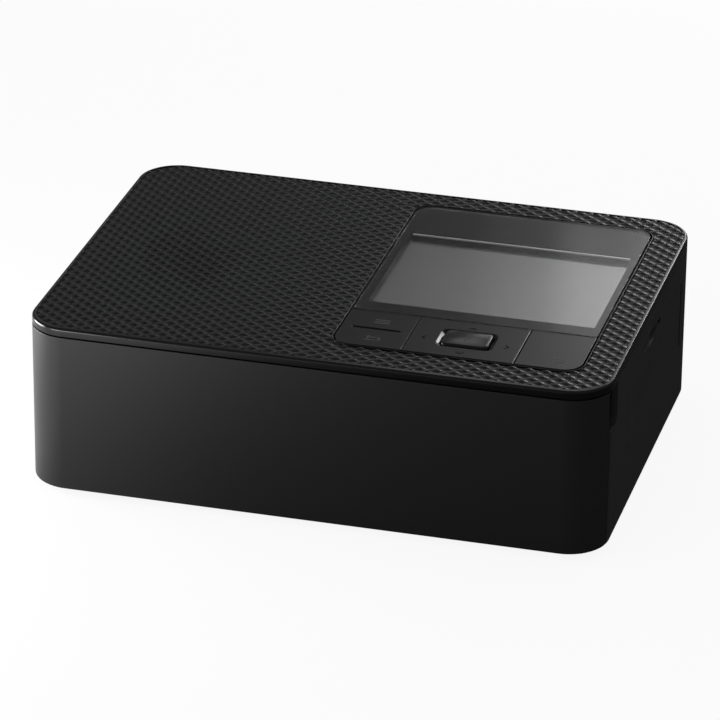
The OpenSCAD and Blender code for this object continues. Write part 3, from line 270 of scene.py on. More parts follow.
# Upright block with round corners: a square, bevelled at its four corners and raised between two heights
def roundedBlock(shape, x0, x1, y0, y1, radius, z0, z1, steps=10):
    corners = bmesh.ops.create_grid(shape, x_segments=1, y_segments=1, size=0.5)["verts"]
    bmesh.ops.scale(shape, vec=(x1 - x0, y1 - y0, 1), verts=corners)
    bmesh.ops.translate(shape, vec=((x0 + x1) / 2, (y0 + y1) / 2, z0), verts=corners)
    made = bmesh.ops.bevel(shape, geom=corners, offset=radius, offset_type="OFFSET", segments=steps,
                           affect="VERTICES", profile=0.5, material=-1)
    face = max((v.link_faces[0] for v in made["verts"] if v.link_faces), key=lambda f: f.calc_area())
    lifted = vertsOf(bmesh.ops.extrude_face_region(shape, geom=[face])["geom"])
    bmesh.ops.translate(shape, vec=(0, 0, z1 - z0), verts=lifted)
    return lifted


def plainBlock(shape, low, high):
    corners = bmesh.ops.create_cube(shape, size=1)["verts"]
    bmesh.ops.scale(shape, vec=[b - a for a, b in zip(low, high)], verts=corners)
    bmesh.ops.translate(shape, vec=[(a + b) / 2 for a, b in zip(low, high)], verts=corners)
    return corners


# Round bar along an axis, "x", "y" or "z", from one end point
def roundBar(shape, start, axis, length, radius, sides=32):
    turn = {"x": Matrix.Rotation(math.pi / 2, 3, "Y"), "y": Matrix.Rotation(-math.pi / 2, 3, "X"),
            "z": Matrix.Identity(3)}[axis]
    verts = bmesh.ops.create_cone(shape, cap_ends=True, segments=sides, radius1=radius, radius2=radius,
                                  depth=length)["verts"]
    bmesh.ops.translate(shape, vec=(0, 0, length / 2), verts=verts)
    bmesh.ops.rotate(shape, cent=(0, 0, 0), matrix=turn, verts=verts)
    bmesh.ops.translate(shape, vec=start, verts=verts)


# Rounds the edges that a test picks
def roundEdges(shape, test, radius, steps=4):
    edges = [e for e in shape.edges if test(e.verts[0].co, e.verts[1].co)]
    bmesh.ops.bevel(shape, geom=edges, offset=radius, offset_type="OFFSET", segments=steps,
                    affect="EDGES", profile=0.5, material=-1)


# Two of those tests: edges at one height, and edges that run from side to side
def atHeight(z):
    return lambda a, b: abs(a.z - z) < 1e-4 and abs(b.z - z) < 1e-4


def alongX(y, z):
    return lambda a, b: all(abs(v.y - y) < 1e-3 and abs(v.z - z) < 1e-3 for v in (a, b))


def closeNormals(shape):
    bmesh.ops.remove_doubles(shape, verts=shape.verts, dist=1e-4)
    bmesh.ops.recalc_face_normals(shape, faces=shape.faces)


def asObject(name, shape):
    mesh = bpy.data.meshes.new(name)
    shape.to_mesh(mesh)
    made = bpy.data.objects.new(name, mesh)
    scene.collection.objects.link(made)
    return made


def newShape(maker, *sizes, **more):
    shape = bmesh.new()
    maker(shape, *sizes, **more)
    return shape


# Cuts tools off a shape, one after another, or keeps what it has in common with them
def combine(shape, tools, how="DIFFERENCE"):
    closeNormals(shape)
    base = asObject("base", shape)
    helpers = []
    for tool in tools:
        closeNormals(tool)
        helper = asObject("tool", tool)
        helpers.append(helper)
        cut = base.modifiers.new("cut", "BOOLEAN")
        cut.operation = how
        cut.object = helper
        cut.solver = "EXACT"
    bpy.context.view_layer.update()
    made = bmesh.new()
    made.from_object(base, bpy.context.evaluated_depsgraph_get())
    for old in [base] + helpers:
        mesh = old.data
        bpy.data.objects.remove(old)
        bpy.data.meshes.remove(mesh)
    for used in [shape] + tools:
        used.free()
    bmesh.ops.remove_doubles(made, verts=made.verts, dist=1e-4)
    bmesh.ops.dissolve_limit(made, angle_limit=math.radians(0.2), verts=made.verts, edges=made.edges)
    return made


# Adds a loose shape to another one
def join(shape, other):
    spare = bpy.data.meshes.new("spare")
    other.to_mesh(spare)
    other.free()
    shape.from_mesh(spare)
    bpy.data.meshes.remove(spare)


# Cuts away one side of a plane and closes the cut
def sliceOff(shape, point, outward):
    made = bmesh.ops.bisect_plane(shape, geom=wholeOf(shape), dist=1e-5, plane_co=point, plane_no=outward,
                                  clear_outer=True)
    rim = [g for g in made["geom_cut"] if isinstance(g, bmesh.types.BMEdge)]
    bmesh.ops.contextual_create(shape, geom=rim)


# Turns a shape into a piece in metres, smooth up to an angle, gives it its finish, ties it to its body and
# hides the nodes it replaces
def finishPiece(name, shape, body, material, replaced=(), soften=0.0, sharp=35, closed=True):
    if closed:
        closeNormals(shape)
    bmesh.ops.scale(shape, vec=(mm, mm, mm), verts=shape.verts)
    piece = asObject(name, shape)
    shape.free()
    piece.data.materials.append(materials[material])
    piece.data.shade_smooth()
    piece.data.set_sharp_from_angle(angle=math.radians(sharp))
    if soften:
        edge = piece.modifiers.new("softEdges", "BEVEL")
        edge.width = soften * mm
        edge.segments = 2
        edge.limit_method = "ANGLE"
        edge.angle_limit = math.radians(40)
        edge.use_clamp_overlap = False
        edge.harden_normals = True
    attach(piece, body)
    if replaced:
        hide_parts(*replaced)
    return piece


# Block with the case outline moved inwards by an inset, which may differ at the front
def caseBlock(shape, inset, z0, z1, front=None, steps=10):
    c = case
    roundedBlock(shape, inset - c["x"], c["x"] - inset, c["front"] + (front or inset), c["rear"] - inset,
                 c["corner"] - inset, z0, z1, steps=steps)


def panelSlab(z0, z1, grow=0.0):
    p = panel
    return newShape(roundedBlock, p["x0"] - grow, p["x1"] + grow, p["y0"] - grow, p["y1"] + grow,
                    p["corner"] + grow, z0, z1)


# Ring of outer wall between two heights, with its lower edge rounded
def caseRing(z0, z1):
    shape = newShape(caseBlock, 0, z0, z1, steps=16)
    roundEdges(shape, atHeight(z0), case["lowEdge"])
    return combine(shape, [newShape(caseBlock, case["wall"], z0 - 1, z1 + 1, steps=16)])


# Tools that reach past the case: for all before one depth, and for holes in the right and rear walls
toolReach = {"x": 95.0, "front": -70.0, "low": 0.0, "high": 60.0, "out": 1.0, "right": 0.5, "rear": 1.0}


def frontTool(end):
    k = toolReach
    return newShape(plainBlock, (-k["x"], k["front"], k["low"]), (k["x"], end, k["high"]))


def rightTool(y, z):
    inner = case["x"] - case["wall"] - toolReach["right"]
    return newShape(plainBlock, (inner, y[0], z[0]), (case["x"] + toolReach["out"], y[1], z[1]))


def rearTool(x, z):
    inner = case["rear"] - case["wall"] - toolReach["rear"]
    return newShape(plainBlock, (x[0], inner, z[0]), (x[1], case["rear"] + toolReach["out"], z[1]))


# Top cover

topLook = {"border": 1.15, "frontBorder": 1.9, "recess": 0.4, "under": 54.8, "lip": (0.33, 0.1, 57.0),
           "postX": (-57.0, 84.45), "postY": (-30.0, 19.3), "postFoot": 49.4, "postRadius": 2.2,
           "ribGap": 0.15, "rib": 1.4, "ribFront": -46.2}


def topCover():
    k, c, gap = topLook, case, panel["gap"]
    shape = newShape(caseBlock, 0, c["seam"], c["top"], steps=16)
    roundEdges(shape, atHeight(c["top"]), c["rimEdge"], steps=5)
    inner = newShape(caseBlock, c["wall"], c["seam"] - 1, k["under"])
    sunk = c["top"] - k["recess"]
    recess = newShape(caseBlock, k["border"], sunk, c["top"] + 1, front=k["frontBorder"], steps=16)
    shape = combine(shape, [inner, recess, panelSlab(c["seam"] - 2, c["top"] + 2, gap)])
    # narrow edging round the opening, as high as the pyramids
    wide, deep, edgingTop = k["lip"]
    edging = panelSlab(sunk - deep, edgingTop, gap + wide)
    join(shape, combine(edging, [panelSlab(c["seam"], c["top"] + 2, gap)]))
    # posts that the main board is screwed to
    for x in k["postX"]:
        for y in k["postY"]:
            roundBar(shape, (x, y, k["postFoot"]), "z", k["under"] - k["postFoot"], k["postRadius"])
    # rib that sits inside the rear and side walls
    inset = c["wall"] + k["ribGap"]
    rib = newShape(caseBlock, inset, c["seam"] - 2, k["under"])
    hollow = newShape(caseBlock, inset + k["rib"], c["seam"] - 3, k["under"] + 1)
    join(shape, combine(rib, [hollow, frontTool(k["ribFront"])]))
    finishPiece("top_cover_shell", shape, "case", "texturedTopAbs", ["top_cover"],
                soften=0.12)


# Field of low lozenge pyramids, pressed into the top between its border and the panel
lozenge = {"length": 5.22, "width": 4.22, "valley": 56.43, "height": 0.72, "centreX": 2.38, "centreY": 4.69,
           "lines": (0.0, 0.2, 0.5, 0.8, 1.0), "gap": 0.05, "margin": 0.35, "spare": 10.0,
           "skirt": 56.3}


# One tile: a quarter of a pyramid and a quarter of its neighbour, mirrored both ways
def lozengeTile():
    k = lozenge
    steps = len(k["lines"]) - 1
    tile = bmesh.new()
    bmesh.ops.create_grid(tile, x_segments=steps, y_segments=steps, size=0.5)
    for v in tile.verts:
        v.co.x, v.co.y = (k["lines"][round((w + 0.5) * steps)] for w in v.co.xy)
        v.co.z = abs(1 - v.co.x - v.co.y)
    # turned while it is split, so that the valleys run along edges
    there, back = (Matrix.Rotation(side * math.pi / 2, 3, "Z") for side in (1, -1))
    bmesh.ops.rotate(tile, cent=(0.5, 0.5, 0), matrix=there, verts=tile.verts)
    bmesh.ops.triangulate(tile, faces=tile.faces, quad_method="FIXED")
    bmesh.ops.rotate(tile, cent=(0.5, 0.5, 0), matrix=back, verts=tile.verts)
    bmesh.ops.scale(tile, vec=(k["length"] / 2, k["width"] / 2, k["height"]), verts=tile.verts)
    for axis in ("X", "Y"):
        bmesh.ops.mirror(tile, geom=wholeOf(tile), axis=axis, merge_dist=1e-4)
    return tile


# Copies what is there, again and again, until it covers count steps along one axis
def repeatAlong(shape, step, count):
    have = 1
    first = wholeOf(shape)
    while have < count:
        doubles = 2 * have <= count
        made = bmesh.ops.duplicate(shape, geom=wholeOf(shape) if doubles else first)["geom"]
        bmesh.ops.translate(shape, vec=Vector(step) * have, verts=vertsOf(made))
        have += have if doubles else 1


# Tiles that cover a box of x and y limits
def tiledField(box):
    k = lozenge
    x0, x1, y0, y1 = box
    field = lozengeTile()
    firstX = math.floor((x0 - k["centreX"]) / k["length"])
    firstY = math.floor((y0 - k["centreY"]) / k["width"])
    corner = (k["centreX"] + firstX * k["length"], k["centreY"] + firstY * k["width"], k["valley"])
    bmesh.ops.translate(field, vec=corner, verts=field.verts)
    repeatAlong(field, (k["length"], 0, 0), math.ceil((x1 - k["centreX"]) / k["length"]) - firstX + 1)
    repeatAlong(field, (0, k["width"], 0), math.ceil((y1 - k["centreY"]) / k["width"]) - firstY + 1)
    return field


# Centres of the round corners of a box, each with the sides it points to
def cornersOf(box, radius):
    x0, x1, y0, y1 = box
    return [(x, y, sideX, sideY) for y, sideY in ((y1 - radius, 1), (y0 + radius, -1))
            for x, sideX in ((x1 - radius, 1), (x0 + radius, -1))]


# What lies round one corner: the cuts that round it leave the others alone
def cornerGeom(shape, x, y, sideX, sideY, radius, before=3, beyond=8):
    near = []
    for face in shape.faces:
        away = face.calc_center_bounds().xy - Vector((x, y))
        if away.x * sideX > -before and away.y * sideY > -before and away.length < radius + beyond:
            near.append(face)
    return list({v for f in near for v in f.verts}) + list({e for f in near for e in f.edges}) + near


# Cuts edges along a box with round corners, and clears what lies outside it if asked
def cutOutline(shape, box, radius, clear, steps=8):
    x0, x1, y0, y1 = box
    for point, outward in (((x0, 0, 0), (-1, 0, 0)), ((x1, 0, 0), (1, 0, 0)),
                           ((0, y0, 0), (0, -1, 0)), ((0, y1, 0), (0, 1, 0))):
        bmesh.ops.bisect_plane(shape, geom=wholeOf(shape), dist=1e-5, plane_co=point, plane_no=outward,
                               clear_outer=clear)
    for x, y, sideX, sideY in cornersOf(box, radius):
        for i in range(steps + 1):
            turn = math.pi / 2 * i / steps
            outward = Vector((sideX * math.cos(turn), sideY * math.sin(turn), 0))
            geom = cornerGeom(shape, x, y, sideX, sideY, radius)
            bmesh.ops.bisect_plane(shape, geom=geom, dist=1e-5, plane_co=Vector((x, y, 0)) + outward * radius,
                                   plane_no=outward, clear_outer=clear)


def isInside(at, box, corners, radius):
    x0, x1, y0, y1 = box
    if not (x0 < at.x < x1 and y0 < at.y < y1):
        return False
    for x, y, sideX, sideY in corners:
        if (at.x - x) * sideX > 0 and (at.y - y) * sideY > 0:
            return (at.xy - Vector((x, y))).length < radius
    return True


def lozengeField():
    k, c, p = lozenge, case, panel
    inset = topLook["border"] + k["gap"]
    front = c["front"] + topLook["frontBorder"] + k["gap"]
    sheet = (inset - c["x"], c["x"] - inset, front, c["rear"] - inset)
    margin = p["gap"] + k["margin"]
    hole = (p["x0"] - margin, p["x1"] + margin, p["y0"] - margin, p["y1"] + margin)
    radius = p["corner"] + margin
    field = tiledField(sheet)
    # the middle of the opening goes first, which keeps the cuts quick
    inner = [limit + side * k["spare"] for limit, side in zip(hole, (1, -1, 1, -1))]
    middle = [f for f in field.faces if isInside(f.calc_center_bounds(), inner, (), 0)]
    bmesh.ops.delete(field, geom=middle, context="FACES")
    bmesh.ops.remove_doubles(field, verts=field.verts, dist=1e-3)
    cutOutline(field, sheet, c["corner"] - inset, clear=True)
    cutOutline(field, hole, radius, clear=False)
    corners = cornersOf(hole, radius)
    covered = [f for f in field.faces if isInside(f.calc_center_median(), hole, corners, radius)]
    bmesh.ops.delete(field, geom=covered, context="FACES")
    # skirt from every free edge down into the recess
    edges = [e for e in field.edges if e.is_boundary]
    for v in vertsOf(bmesh.ops.extrude_edge_only(field, edges=edges)["geom"]):
        v.co.z = k["skirt"]
    bmesh.ops.recalc_face_normals(field, faces=field.faces)
    highest = max(field.faces, key=lambda f: f.calc_center_median().z)
    if highest.normal.z < 0:
        bmesh.ops.reverse_faces(field, faces=field.faces)
    piece = finishPiece("top_lozenge_field", field, "case", "texturedTopAbs", ["top_cover"],
                        sharp=180, closed=False)
    print("lozenge field:", len(piece.data.polygons), "faces")


topCover()
lozengeField()
print("top cover done")


# Front cover and body

coverLook = {"end": -56.9, "top": 53.7, "corner": 3.0, "earX": 70.0, "earThick": 3.0, "earGap": 0.3,
             "hingeY": -62.3, "hingeZ": 6.1, "lug": 1.9, "pin": 0.9}


def frontCover():
    k, c = coverLook, case
    y, z, thick = k["hingeY"], k["hingeZ"], k["earThick"]
    shape = combine(caseRing(c["foot"], k["top"]), [frontTool(k["end"])], "INTERSECT")
    # round rear corners of both returns, seen from the side
    for height in (c["foot"], k["top"]):
        roundEdges(shape, alongX(k["end"], height), k["corner"], steps=8)
    # two ears at each end, and a pin from the middle of the outer one inwards
    pinLength = 1.5 * thick + k["earGap"]
    for sx in (-1, 1):
        for side in (-1, 1):
            x = sx * k["earX"] + side * (thick + k["earGap"])
            roundBar(shape, (x - thick / 2, y, z), "x", thick, k["lug"])
            plainBlock(shape, (x - thick / 2, c["front"] + c["wall"] - bite, z - k["lug"]),
                       (x + thick / 2, y, z + k["lug"]))
            if side == sx:
                roundBar(shape, (min(x, x - sx * pinLength), y, z), "x", pinLength, k["pin"])
    finishPiece("front_cover_shell", shape, "front_cover", "paintedLightCoverAbs",
                ["front_cover"], soften=0.15)


bodyLook = {"front": -56.1, "notchEnd": -48.2, "notchFloor": 40.15, "notchCorner": 2.5,
            "cardY": (-10.3, 14.3), "cardZ": (45.4, 47.2), "dish": (30.0, 0.45),
            "jack": (48.0, 14.6), "jackRadius": 3.6, "usb": (28.0, 11.4), "usbHalf": (4.9, 1.9),
            "bossX": 83.5, "bossY": (-44.5, 59.0), "bossFoot": 4.2, "bossHeight": 9.0, "bossRadius": 3.0,
            "bossRib": 0.8}
doorLook = {"y": (-30.0, 46.0), "z": (22.0, 44.0), "gap": 0.12, "dish": (-21.5, 33.0), "pinX": 89.5,
            "barrel": 1.5, "knuckle": 3.0, "knuckleGap": 0.25, "hookReach": 2.4, "hookY": (0.4, 1.8),
            "hookZ": 5.0, "hookHeight": 3.0}
grilleLook = {"slotX": 56.0, "slotZ": (26.0, 32.0), "gap": 0.25, "vents": 15, "ventPitch": 6.0,
              "ventWidth": 2.0, "ventZ": (39.95, 47.95), "tabHalf": 3.5, "tabY": (1.4, 0.1),
              "tabZ": (2.0, 3.0)}


# Ball that presses a shallow round dish into a side wall
def shallowDish(shape, wallX, y, z, size):
    radius, depth = size
    verts = bmesh.ops.create_uvsphere(shape, u_segments=128, v_segments=96, radius=radius)["verts"]
    bmesh.ops.rotate(shape, cent=(0, 0, 0), matrix=Matrix.Rotation(math.pi / 2, 3, "Y"), verts=verts)
    bmesh.ops.translate(shape, vec=(wallX + radius - depth, y, z), verts=verts)


# Holes of the walls: ink door, card slot with its scoop, finger notch, paper slot and sockets
def bodyHoles():
    k, c, d, g = bodyLook, case, doorLook, grilleLook
    door = rightTool((d["y"][0] - d["gap"], d["y"][1] + d["barrel"] + d["gap"]),
                     (d["z"][0] - d["gap"], d["z"][1] + d["gap"]))
    card = rightTool(k["cardY"], k["cardZ"])
    scoop = newShape(shallowDish, c["x"], sum(k["cardY"]) / 2, sum(k["cardZ"]) / 2, k["dish"])
    notch = rightTool((k["front"] - 1, k["notchEnd"]), (k["notchFloor"], c["bodyTop"] + 1))
    roundEdges(notch, alongX(k["notchEnd"], k["notchFloor"]), k["notchCorner"], steps=8)
    paper = rearTool((-g["slotX"], g["slotX"]), (g["slotZ"][0], c["bodyTop"] + 1))
    x, z = k["jack"]
    inner = c["rear"] - c["wall"] - toolReach["rear"]
    jack = newShape(roundBar, (x, inner, z), "y", c["wall"] + 3, k["jackRadius"], sides=48)
    (x, z), (halfX, halfZ) = k["usb"], k["usbHalf"]
    usb = rearTool((x - halfX, x + halfX), (z - halfZ, z + halfZ))
    return [door, card, scoop, notch, paper, jack, usb]


def bodyCase():
    k, c, d = bodyLook, case, doorLook
    shape = combine(caseRing(c["foot"], c["bodyTop"]), [frontTool(k["front"])] + bodyHoles())
    foot, height = k["bossFoot"], k["bossHeight"]
    for sx in (-1, 1):
        x = sorted((sx * k["bossX"], sx * (c["x"] - c["wall"])))
        for y in k["bossY"]:
            roundBar(shape, (sx * k["bossX"], y, foot), "z", height, k["bossRadius"])
            plainBlock(shape, (x[0], y - k["bossRib"], foot), (x[1], y + k["bossRib"], foot + height))
    for z in (d["z"][0] - d["knuckleGap"] - d["knuckle"], d["z"][1] + d["knuckleGap"]):
        roundBar(shape, (d["pinX"], d["y"][1], z), "z", d["knuckle"], d["barrel"])
    finishPiece("body_case_shell", shape, "case", "paintedLightBlackAbs", ["body_case"])


# Vent panel above the paper slot, with a tab behind the wall at each end
def rearGrille():
    k, c = grilleLook, case
    inY, bottom, half = c["rear"] - c["wall"], k["slotZ"][1], k["ventWidth"] / 2
    x1 = k["slotX"] - k["gap"]
    shape = newShape(plainBlock, (-x1, inY, bottom), (x1, c["rear"], c["bodyTop"]))
    vents = bmesh.new()
    for i in range(k["vents"]):
        x = (i - (k["vents"] - 1) / 2) * k["ventPitch"]
        plainBlock(vents, (x - half, inY - 1, k["ventZ"][0]), (x + half, c["rear"] + 1, k["ventZ"][1]))
    shape = combine(shape, [vents])
    for sx in (-1, 1):
        x = sorted((sx * (x1 - k["tabHalf"]), sx * (x1 + k["tabHalf"])))
        plainBlock(shape, (x[0], inY - k["tabY"][0], bottom + k["tabZ"][0]),
                   (x[1], inY - k["tabY"][1], c["bodyTop"] - k["tabZ"][1]))
    finishPiece("rear_grille_panel", shape, "case", "paintedLightBlackAbs", ["rear_grille"],
                soften=0.2)


def inkDoor():
    k, c = doorLook, case
    inX = c["x"] - c["wall"]
    (y0, y1), (z0, z1) = k["y"], k["z"]
    shape = newShape(plainBlock, (inX, y0, z0), (c["x"], y1, z1))
    press = newShape(shallowDish, c["x"], *k["dish"], bodyLook["dish"])  # where a thumb presses
    shape = combine(shape, [press])
    roundBar(shape, (k["pinX"], y1, z0), "z", z1 - z0, k["barrel"])
    for z in (z0 + k["hookZ"], z1 - k["hookZ"] - k["hookHeight"]):
        plainBlock(shape, (inX - k["hookReach"], y0 + k["hookY"][0], z),
                   (inX + bite, y0 + k["hookY"][1], z + k["hookHeight"]))
    finishPiece("ink_door_flap", shape, "ink_door", "paintedLightBlackAbs", ["ink_door"])


frontCover()
bodyCase()
rearGrille()
inkDoor()
print("shells done")


# Operation panel

def windowPlate():
    p = panel
    shape = panelSlab(p["under"] + p["plateLift"], p["top"])
    sliceOff(shape, (0, p["keyRear"] + p["keySeam"], 0), (0, -1, 0))
    finishPiece("screen_window_plate", shape, "case", "polishedAcrylic", ["screen_window"],
                soften=0.2)


keyLook = {"round": 0.3, "stem": 1.4, "stemFoot": 52.5, "menuX": 13.95, "menuStemY": 7.0,
           "slit": (15.0, 0.9, 0.5), "navX": 42.4, "navStemX": 12.5, "navStemY": 8.6,
           "navFeet": (54.05, 53.75), "okSize": (14.7, 10.7), "okCorner": 1.9, "okUnder": 55.6,
           "okRise": 0.44, "okEdge": 0.8, "okRound": 0.1, "okGap": 0.35, "okHoleCorner": 2.2,
           "okRing": (1.15, 0.4), "okRingDepth": 0.95, "powerX": 69.825}


# Part of the key row between two x values, with the panel's own corners
def keyPlate(x0, x1):
    p = panel
    shape = panelSlab(p["under"], p["top"])
    sliceOff(shape, (0, p["keyRear"] - p["keySeam"], 0), (0, 1, 0))
    if x0 > p["x0"]:
        sliceOff(shape, (x0, 0, 0), (-1, 0, 0))
    if x1 < p["x1"]:
        sliceOff(shape, (x1, 0, 0), (1, 0, 0))
    return shape


def keyStem(shape, x, y, foot):
    roundBar(shape, (x, y, foot), "z", panel["under"] + bite - foot, keyLook["stem"], sides=24)


# Each key rides the body, and replaces the node, of the same name
def finishKey(name, key, node, soften):
    finishPiece(name, key, node, "polishedKeyAbs", [node], soften=soften)


# Outline of the OK key, widened by a gap
def okBlock(shape, gap, corner, z0, z1):
    x, y = keyLook["navX"], panel["keyY"]
    halfX, halfY = (size / 2 + gap for size in keyLook["okSize"])
    return roundedBlock(shape, x - halfX, x + halfX, y - halfY, y + halfY, corner, z0, z1)


def menuBackKey():
    k, p = keyLook, panel
    x, y = k["menuX"], p["keyY"]
    width, length, depth = k["slit"]
    slit = newShape(plainBlock, (x - width / 2, y - length / 2, p["top"] - depth),
                    (x + width / 2, y + length / 2, p["top"] + 1))
    key = combine(keyPlate(p["x0"], p["menuEnd"] - p["keySeam"]), [slit])
    for side in (-1, 1):
        keyStem(key, x, y + side * k["menuStemY"], k["stemFoot"])
    finishKey("menu_back_rocker", key, "menu_back_key", k["round"])


# The hole for the OK key widens towards the top, and most along x
def fourWayKey():
    k, p = keyLook, panel
    x, y, gap, corner = k["navX"], p["keyY"], k["okGap"], k["okHoleCorner"]
    hole = newShape(okBlock, gap, corner, p["under"] - 2, p["top"] + 2)
    funnel = bmesh.new()
    lifted = okBlock(funnel, gap, corner, p["top"] - k["okRingDepth"], p["top"] + bite)
    widen = [1 + 2 * ring / (size + 2 * gap) for ring, size in zip(k["okRing"], k["okSize"])]
    bmesh.ops.scale(funnel, vec=(*widen, 1), verts=lifted, space=Matrix.Translation((-x, -y, 0)))
    key = combine(keyPlate(p["menuEnd"], p["navEnd"] - p["keySeam"]), [hole, funnel])
    footX, footY = k["navFeet"]
    for side in (-1, 1):
        keyStem(key, x + side * k["navStemX"], y, footX)
        keyStem(key, x, y + side * k["navStemY"], footY)
    finishKey("four_way_key", key, "nav_key", k["round"])


def okKey():
    k, p = keyLook, panel
    top = p["top"] + k["okRise"]
    key = newShape(okBlock, 0, k["okCorner"], k["okUnder"], top)
    roundEdges(key, atHeight(top), k["okEdge"], steps=3)
    keyStem(key, k["navX"], p["keyY"], k["stemFoot"])
    finishKey("ok_key_cap", key, "ok_button", k["okRound"])


def powerKey():
    k, p = keyLook, panel
    key = keyPlate(p["navEnd"], p["x1"])
    keyStem(key, k["powerX"], p["keyY"], k["stemFoot"])
    finishKey("power_key_cap", key, "power_key", k["round"])


# Marks on the keys: thin printed bars, arcs and heads, a hair above the plastic
markLook = {"ink": 0.04, "sink": 0.03, "stroke": 0.42, "arcSteps": 24}


def markBar(shape, start, end, top):
    k = markLook
    half = k["stroke"] / 2
    run = Vector(end) - Vector(start)
    turn = Matrix.Rotation(math.atan2(run.y, run.x), 3, "Z")
    verts = plainBlock(shape, (-half, -half, top - k["sink"]), (run.length + half, half, top + k["ink"]))
    bmesh.ops.rotate(shape, cent=(0, 0, 0), matrix=turn, verts=verts)
    bmesh.ops.translate(shape, vec=(*start, 0), verts=verts)


# Part of a ring, spun from one square section; angles run from the x axis
def markArc(shape, centre, radius, first, last, top):
    k = markLook
    section = bmesh.ops.create_grid(shape, x_segments=1, y_segments=1, size=0.5)["verts"]
    bmesh.ops.scale(shape, vec=(k["stroke"], k["sink"] + k["ink"], 1), verts=section)
    bmesh.ops.rotate(shape, cent=(0, 0, 0), matrix=Matrix.Rotation(math.pi / 2, 3, "X"), verts=section)
    bmesh.ops.translate(shape, vec=(radius, 0, top + (k["ink"] - k["sink"]) / 2), verts=section)
    bmesh.ops.rotate(shape, cent=(0, 0, 0), matrix=Matrix.Rotation(first, 3, "Z"), verts=section)
    bmesh.ops.translate(shape, vec=(*centre, 0), verts=section)
    face = section[0].link_faces[0]
    bmesh.ops.duplicate(shape, geom=[face])  # stays behind and closes the first end
    bmesh.ops.spin(shape, geom=[face] + list(face.edges) + list(face.verts), cent=(*centre, 0),
                   axis=(0, 0, 1), angle=last - first, steps=k["arcSteps"], use_merge=False,
                   use_duplicate=False)


menuMarkLook = {"barX": 14.5, "barY": -34.8, "barWidth": 4.4, "barPitch": 1.15, "backX": 14.1, "backY": -47.3,
                "backWidth": 3.4, "backRadius": 1.0, "headTip": -0.2, "headEnd": 0.75, "headRise": 0.85}


# Three bars, and an arrow that turns back
def menuBackMarks():
    k, top = menuMarkLook, panel["top"]
    marks = bmesh.new()
    x, y, half = k["barX"], k["barY"], k["barWidth"] / 2
    for i in (-1, 0, 1):
        markBar(marks, (x - half, y + i * k["barPitch"]), (x + half, y + i * k["barPitch"]), top)
    x, y, half, radius = k["backX"], k["backY"], k["backWidth"] / 2, k["backRadius"]
    for side in (-1, 1):
        markBar(marks, (x - half, y + side * radius), (x + half, y + side * radius), top)
    markArc(marks, (x + half, y), radius, -math.pi / 2, math.pi / 2, top)
    for side in (-1, 1):
        markBar(marks, (x - half + k["headTip"], y + radius),
                (x - half + k["headEnd"], y + radius + side * k["headRise"]), top)
    finishPiece("menu_back_marks", marks, "menu_back_key", "printedGreyInk")


arrowLook = {"x": (28.9, 55.7), "y": (-50.2, -31.6), "sideY": -41.9, "back": 0.93, "out": 1.125}


def fourWayArrows():
    k, top = arrowLook, panel["top"]
    arrows = bmesh.new()
    for side in (0, 1):
        away = 2 * side - 1
        for tip, axis in (((k["x"][side], k["sideY"]), (away, 0)),
                          ((sum(k["x"]) / 2, k["y"][side]), (0, away))):
            tip, axis, across = Vector(tip), Vector(axis), Vector(reversed(axis))
            for s in (-1, 1):
                markBar(arrows, tip, tip - axis * k["back"] + across * s * k["out"], top)
    finishPiece("four_way_arrows", arrows, "nav_key", "printedMaskInk")


tickLook = {"x": 42.4, "y": -40.3, "points": ((-1.5, 0.0), (-0.45, -1.2), (1.5, 1.35))}


def okTick():
    k = tickLook
    tick = bmesh.new()
    points = [(k["x"] + x, k["y"] + y) for x, y in k["points"]]
    for start, end in zip(points, points[1:]):
        markBar(tick, start, end, panel["top"] + keyLook["okRise"])
    finishPiece("ok_tick_mark", tick, "ok_button", "printedGreyInk")


powerMarkLook = {"x": 72.7, "y": -46.7, "radius": 1.35, "first": 130, "last": 410, "barFoot": 0.2,
                 "barPast": 0.35}


def powerMark():
    k, top = powerMarkLook, panel["top"]
    x, y, radius = k["x"], k["y"], k["radius"]
    mark = bmesh.new()
    markArc(mark, (x, y), radius, math.radians(k["first"]), math.radians(k["last"]), top)
    markBar(mark, (x, y + k["barFoot"]), (x, y + radius + k["barPast"]), top)
    finishPiece("power_key_mark", mark, "power_key", "printedGreyInk")


displaySizes = {"low": (4.5, -21.7, 51.8), "high": (78.6, 36.9, 54.2),
                "edgeLow": (6.2, 33.6, 55.3), "edgeHigh": (76.9, 34.5, 55.8)}


def displayModule():
    k = displaySizes
    shape = newShape(plainBlock, k["low"], k["high"])
    finishPiece("display_module", shape, "case", "polariserFilm", ["lcd_panel"], soften=0.2)
    # bright edge of the light guide, at the rear of the opening
    strip = newShape(plainBlock, k["edgeLow"], k["edgeHigh"])
    finishPiece("display_edge_strip", strip, "case", "satinFoil", soften=0.1)


windowPlate()
menuBackKey()
fourWayKey()
okKey()
powerKey()
menuBackMarks()
fourWayArrows()
okTick()
powerMark()
displayModule()
print("panel done")


# Feet

footLook = {"x": 74.1, "y": (-47.5, 51.5), "radius": 5.8, "rise": 2.8, "edge": 0.8}


def rubberFeet():
    k = footLook
    shape = bmesh.new()
    for sx in (-1, 1):
        for y in k["y"]:
            roundBar(shape, (sx * k["x"], y, 0), "z", k["rise"], k["radius"], sides=48)
    roundEdges(shape, atHeight(0), k["edge"])
    finishPiece("rubber_foot_pads", shape, "case", "mouldedFootRubber", ["rubber_feet"])


rubberFeet()

# Finishes of the parts that keep their solids

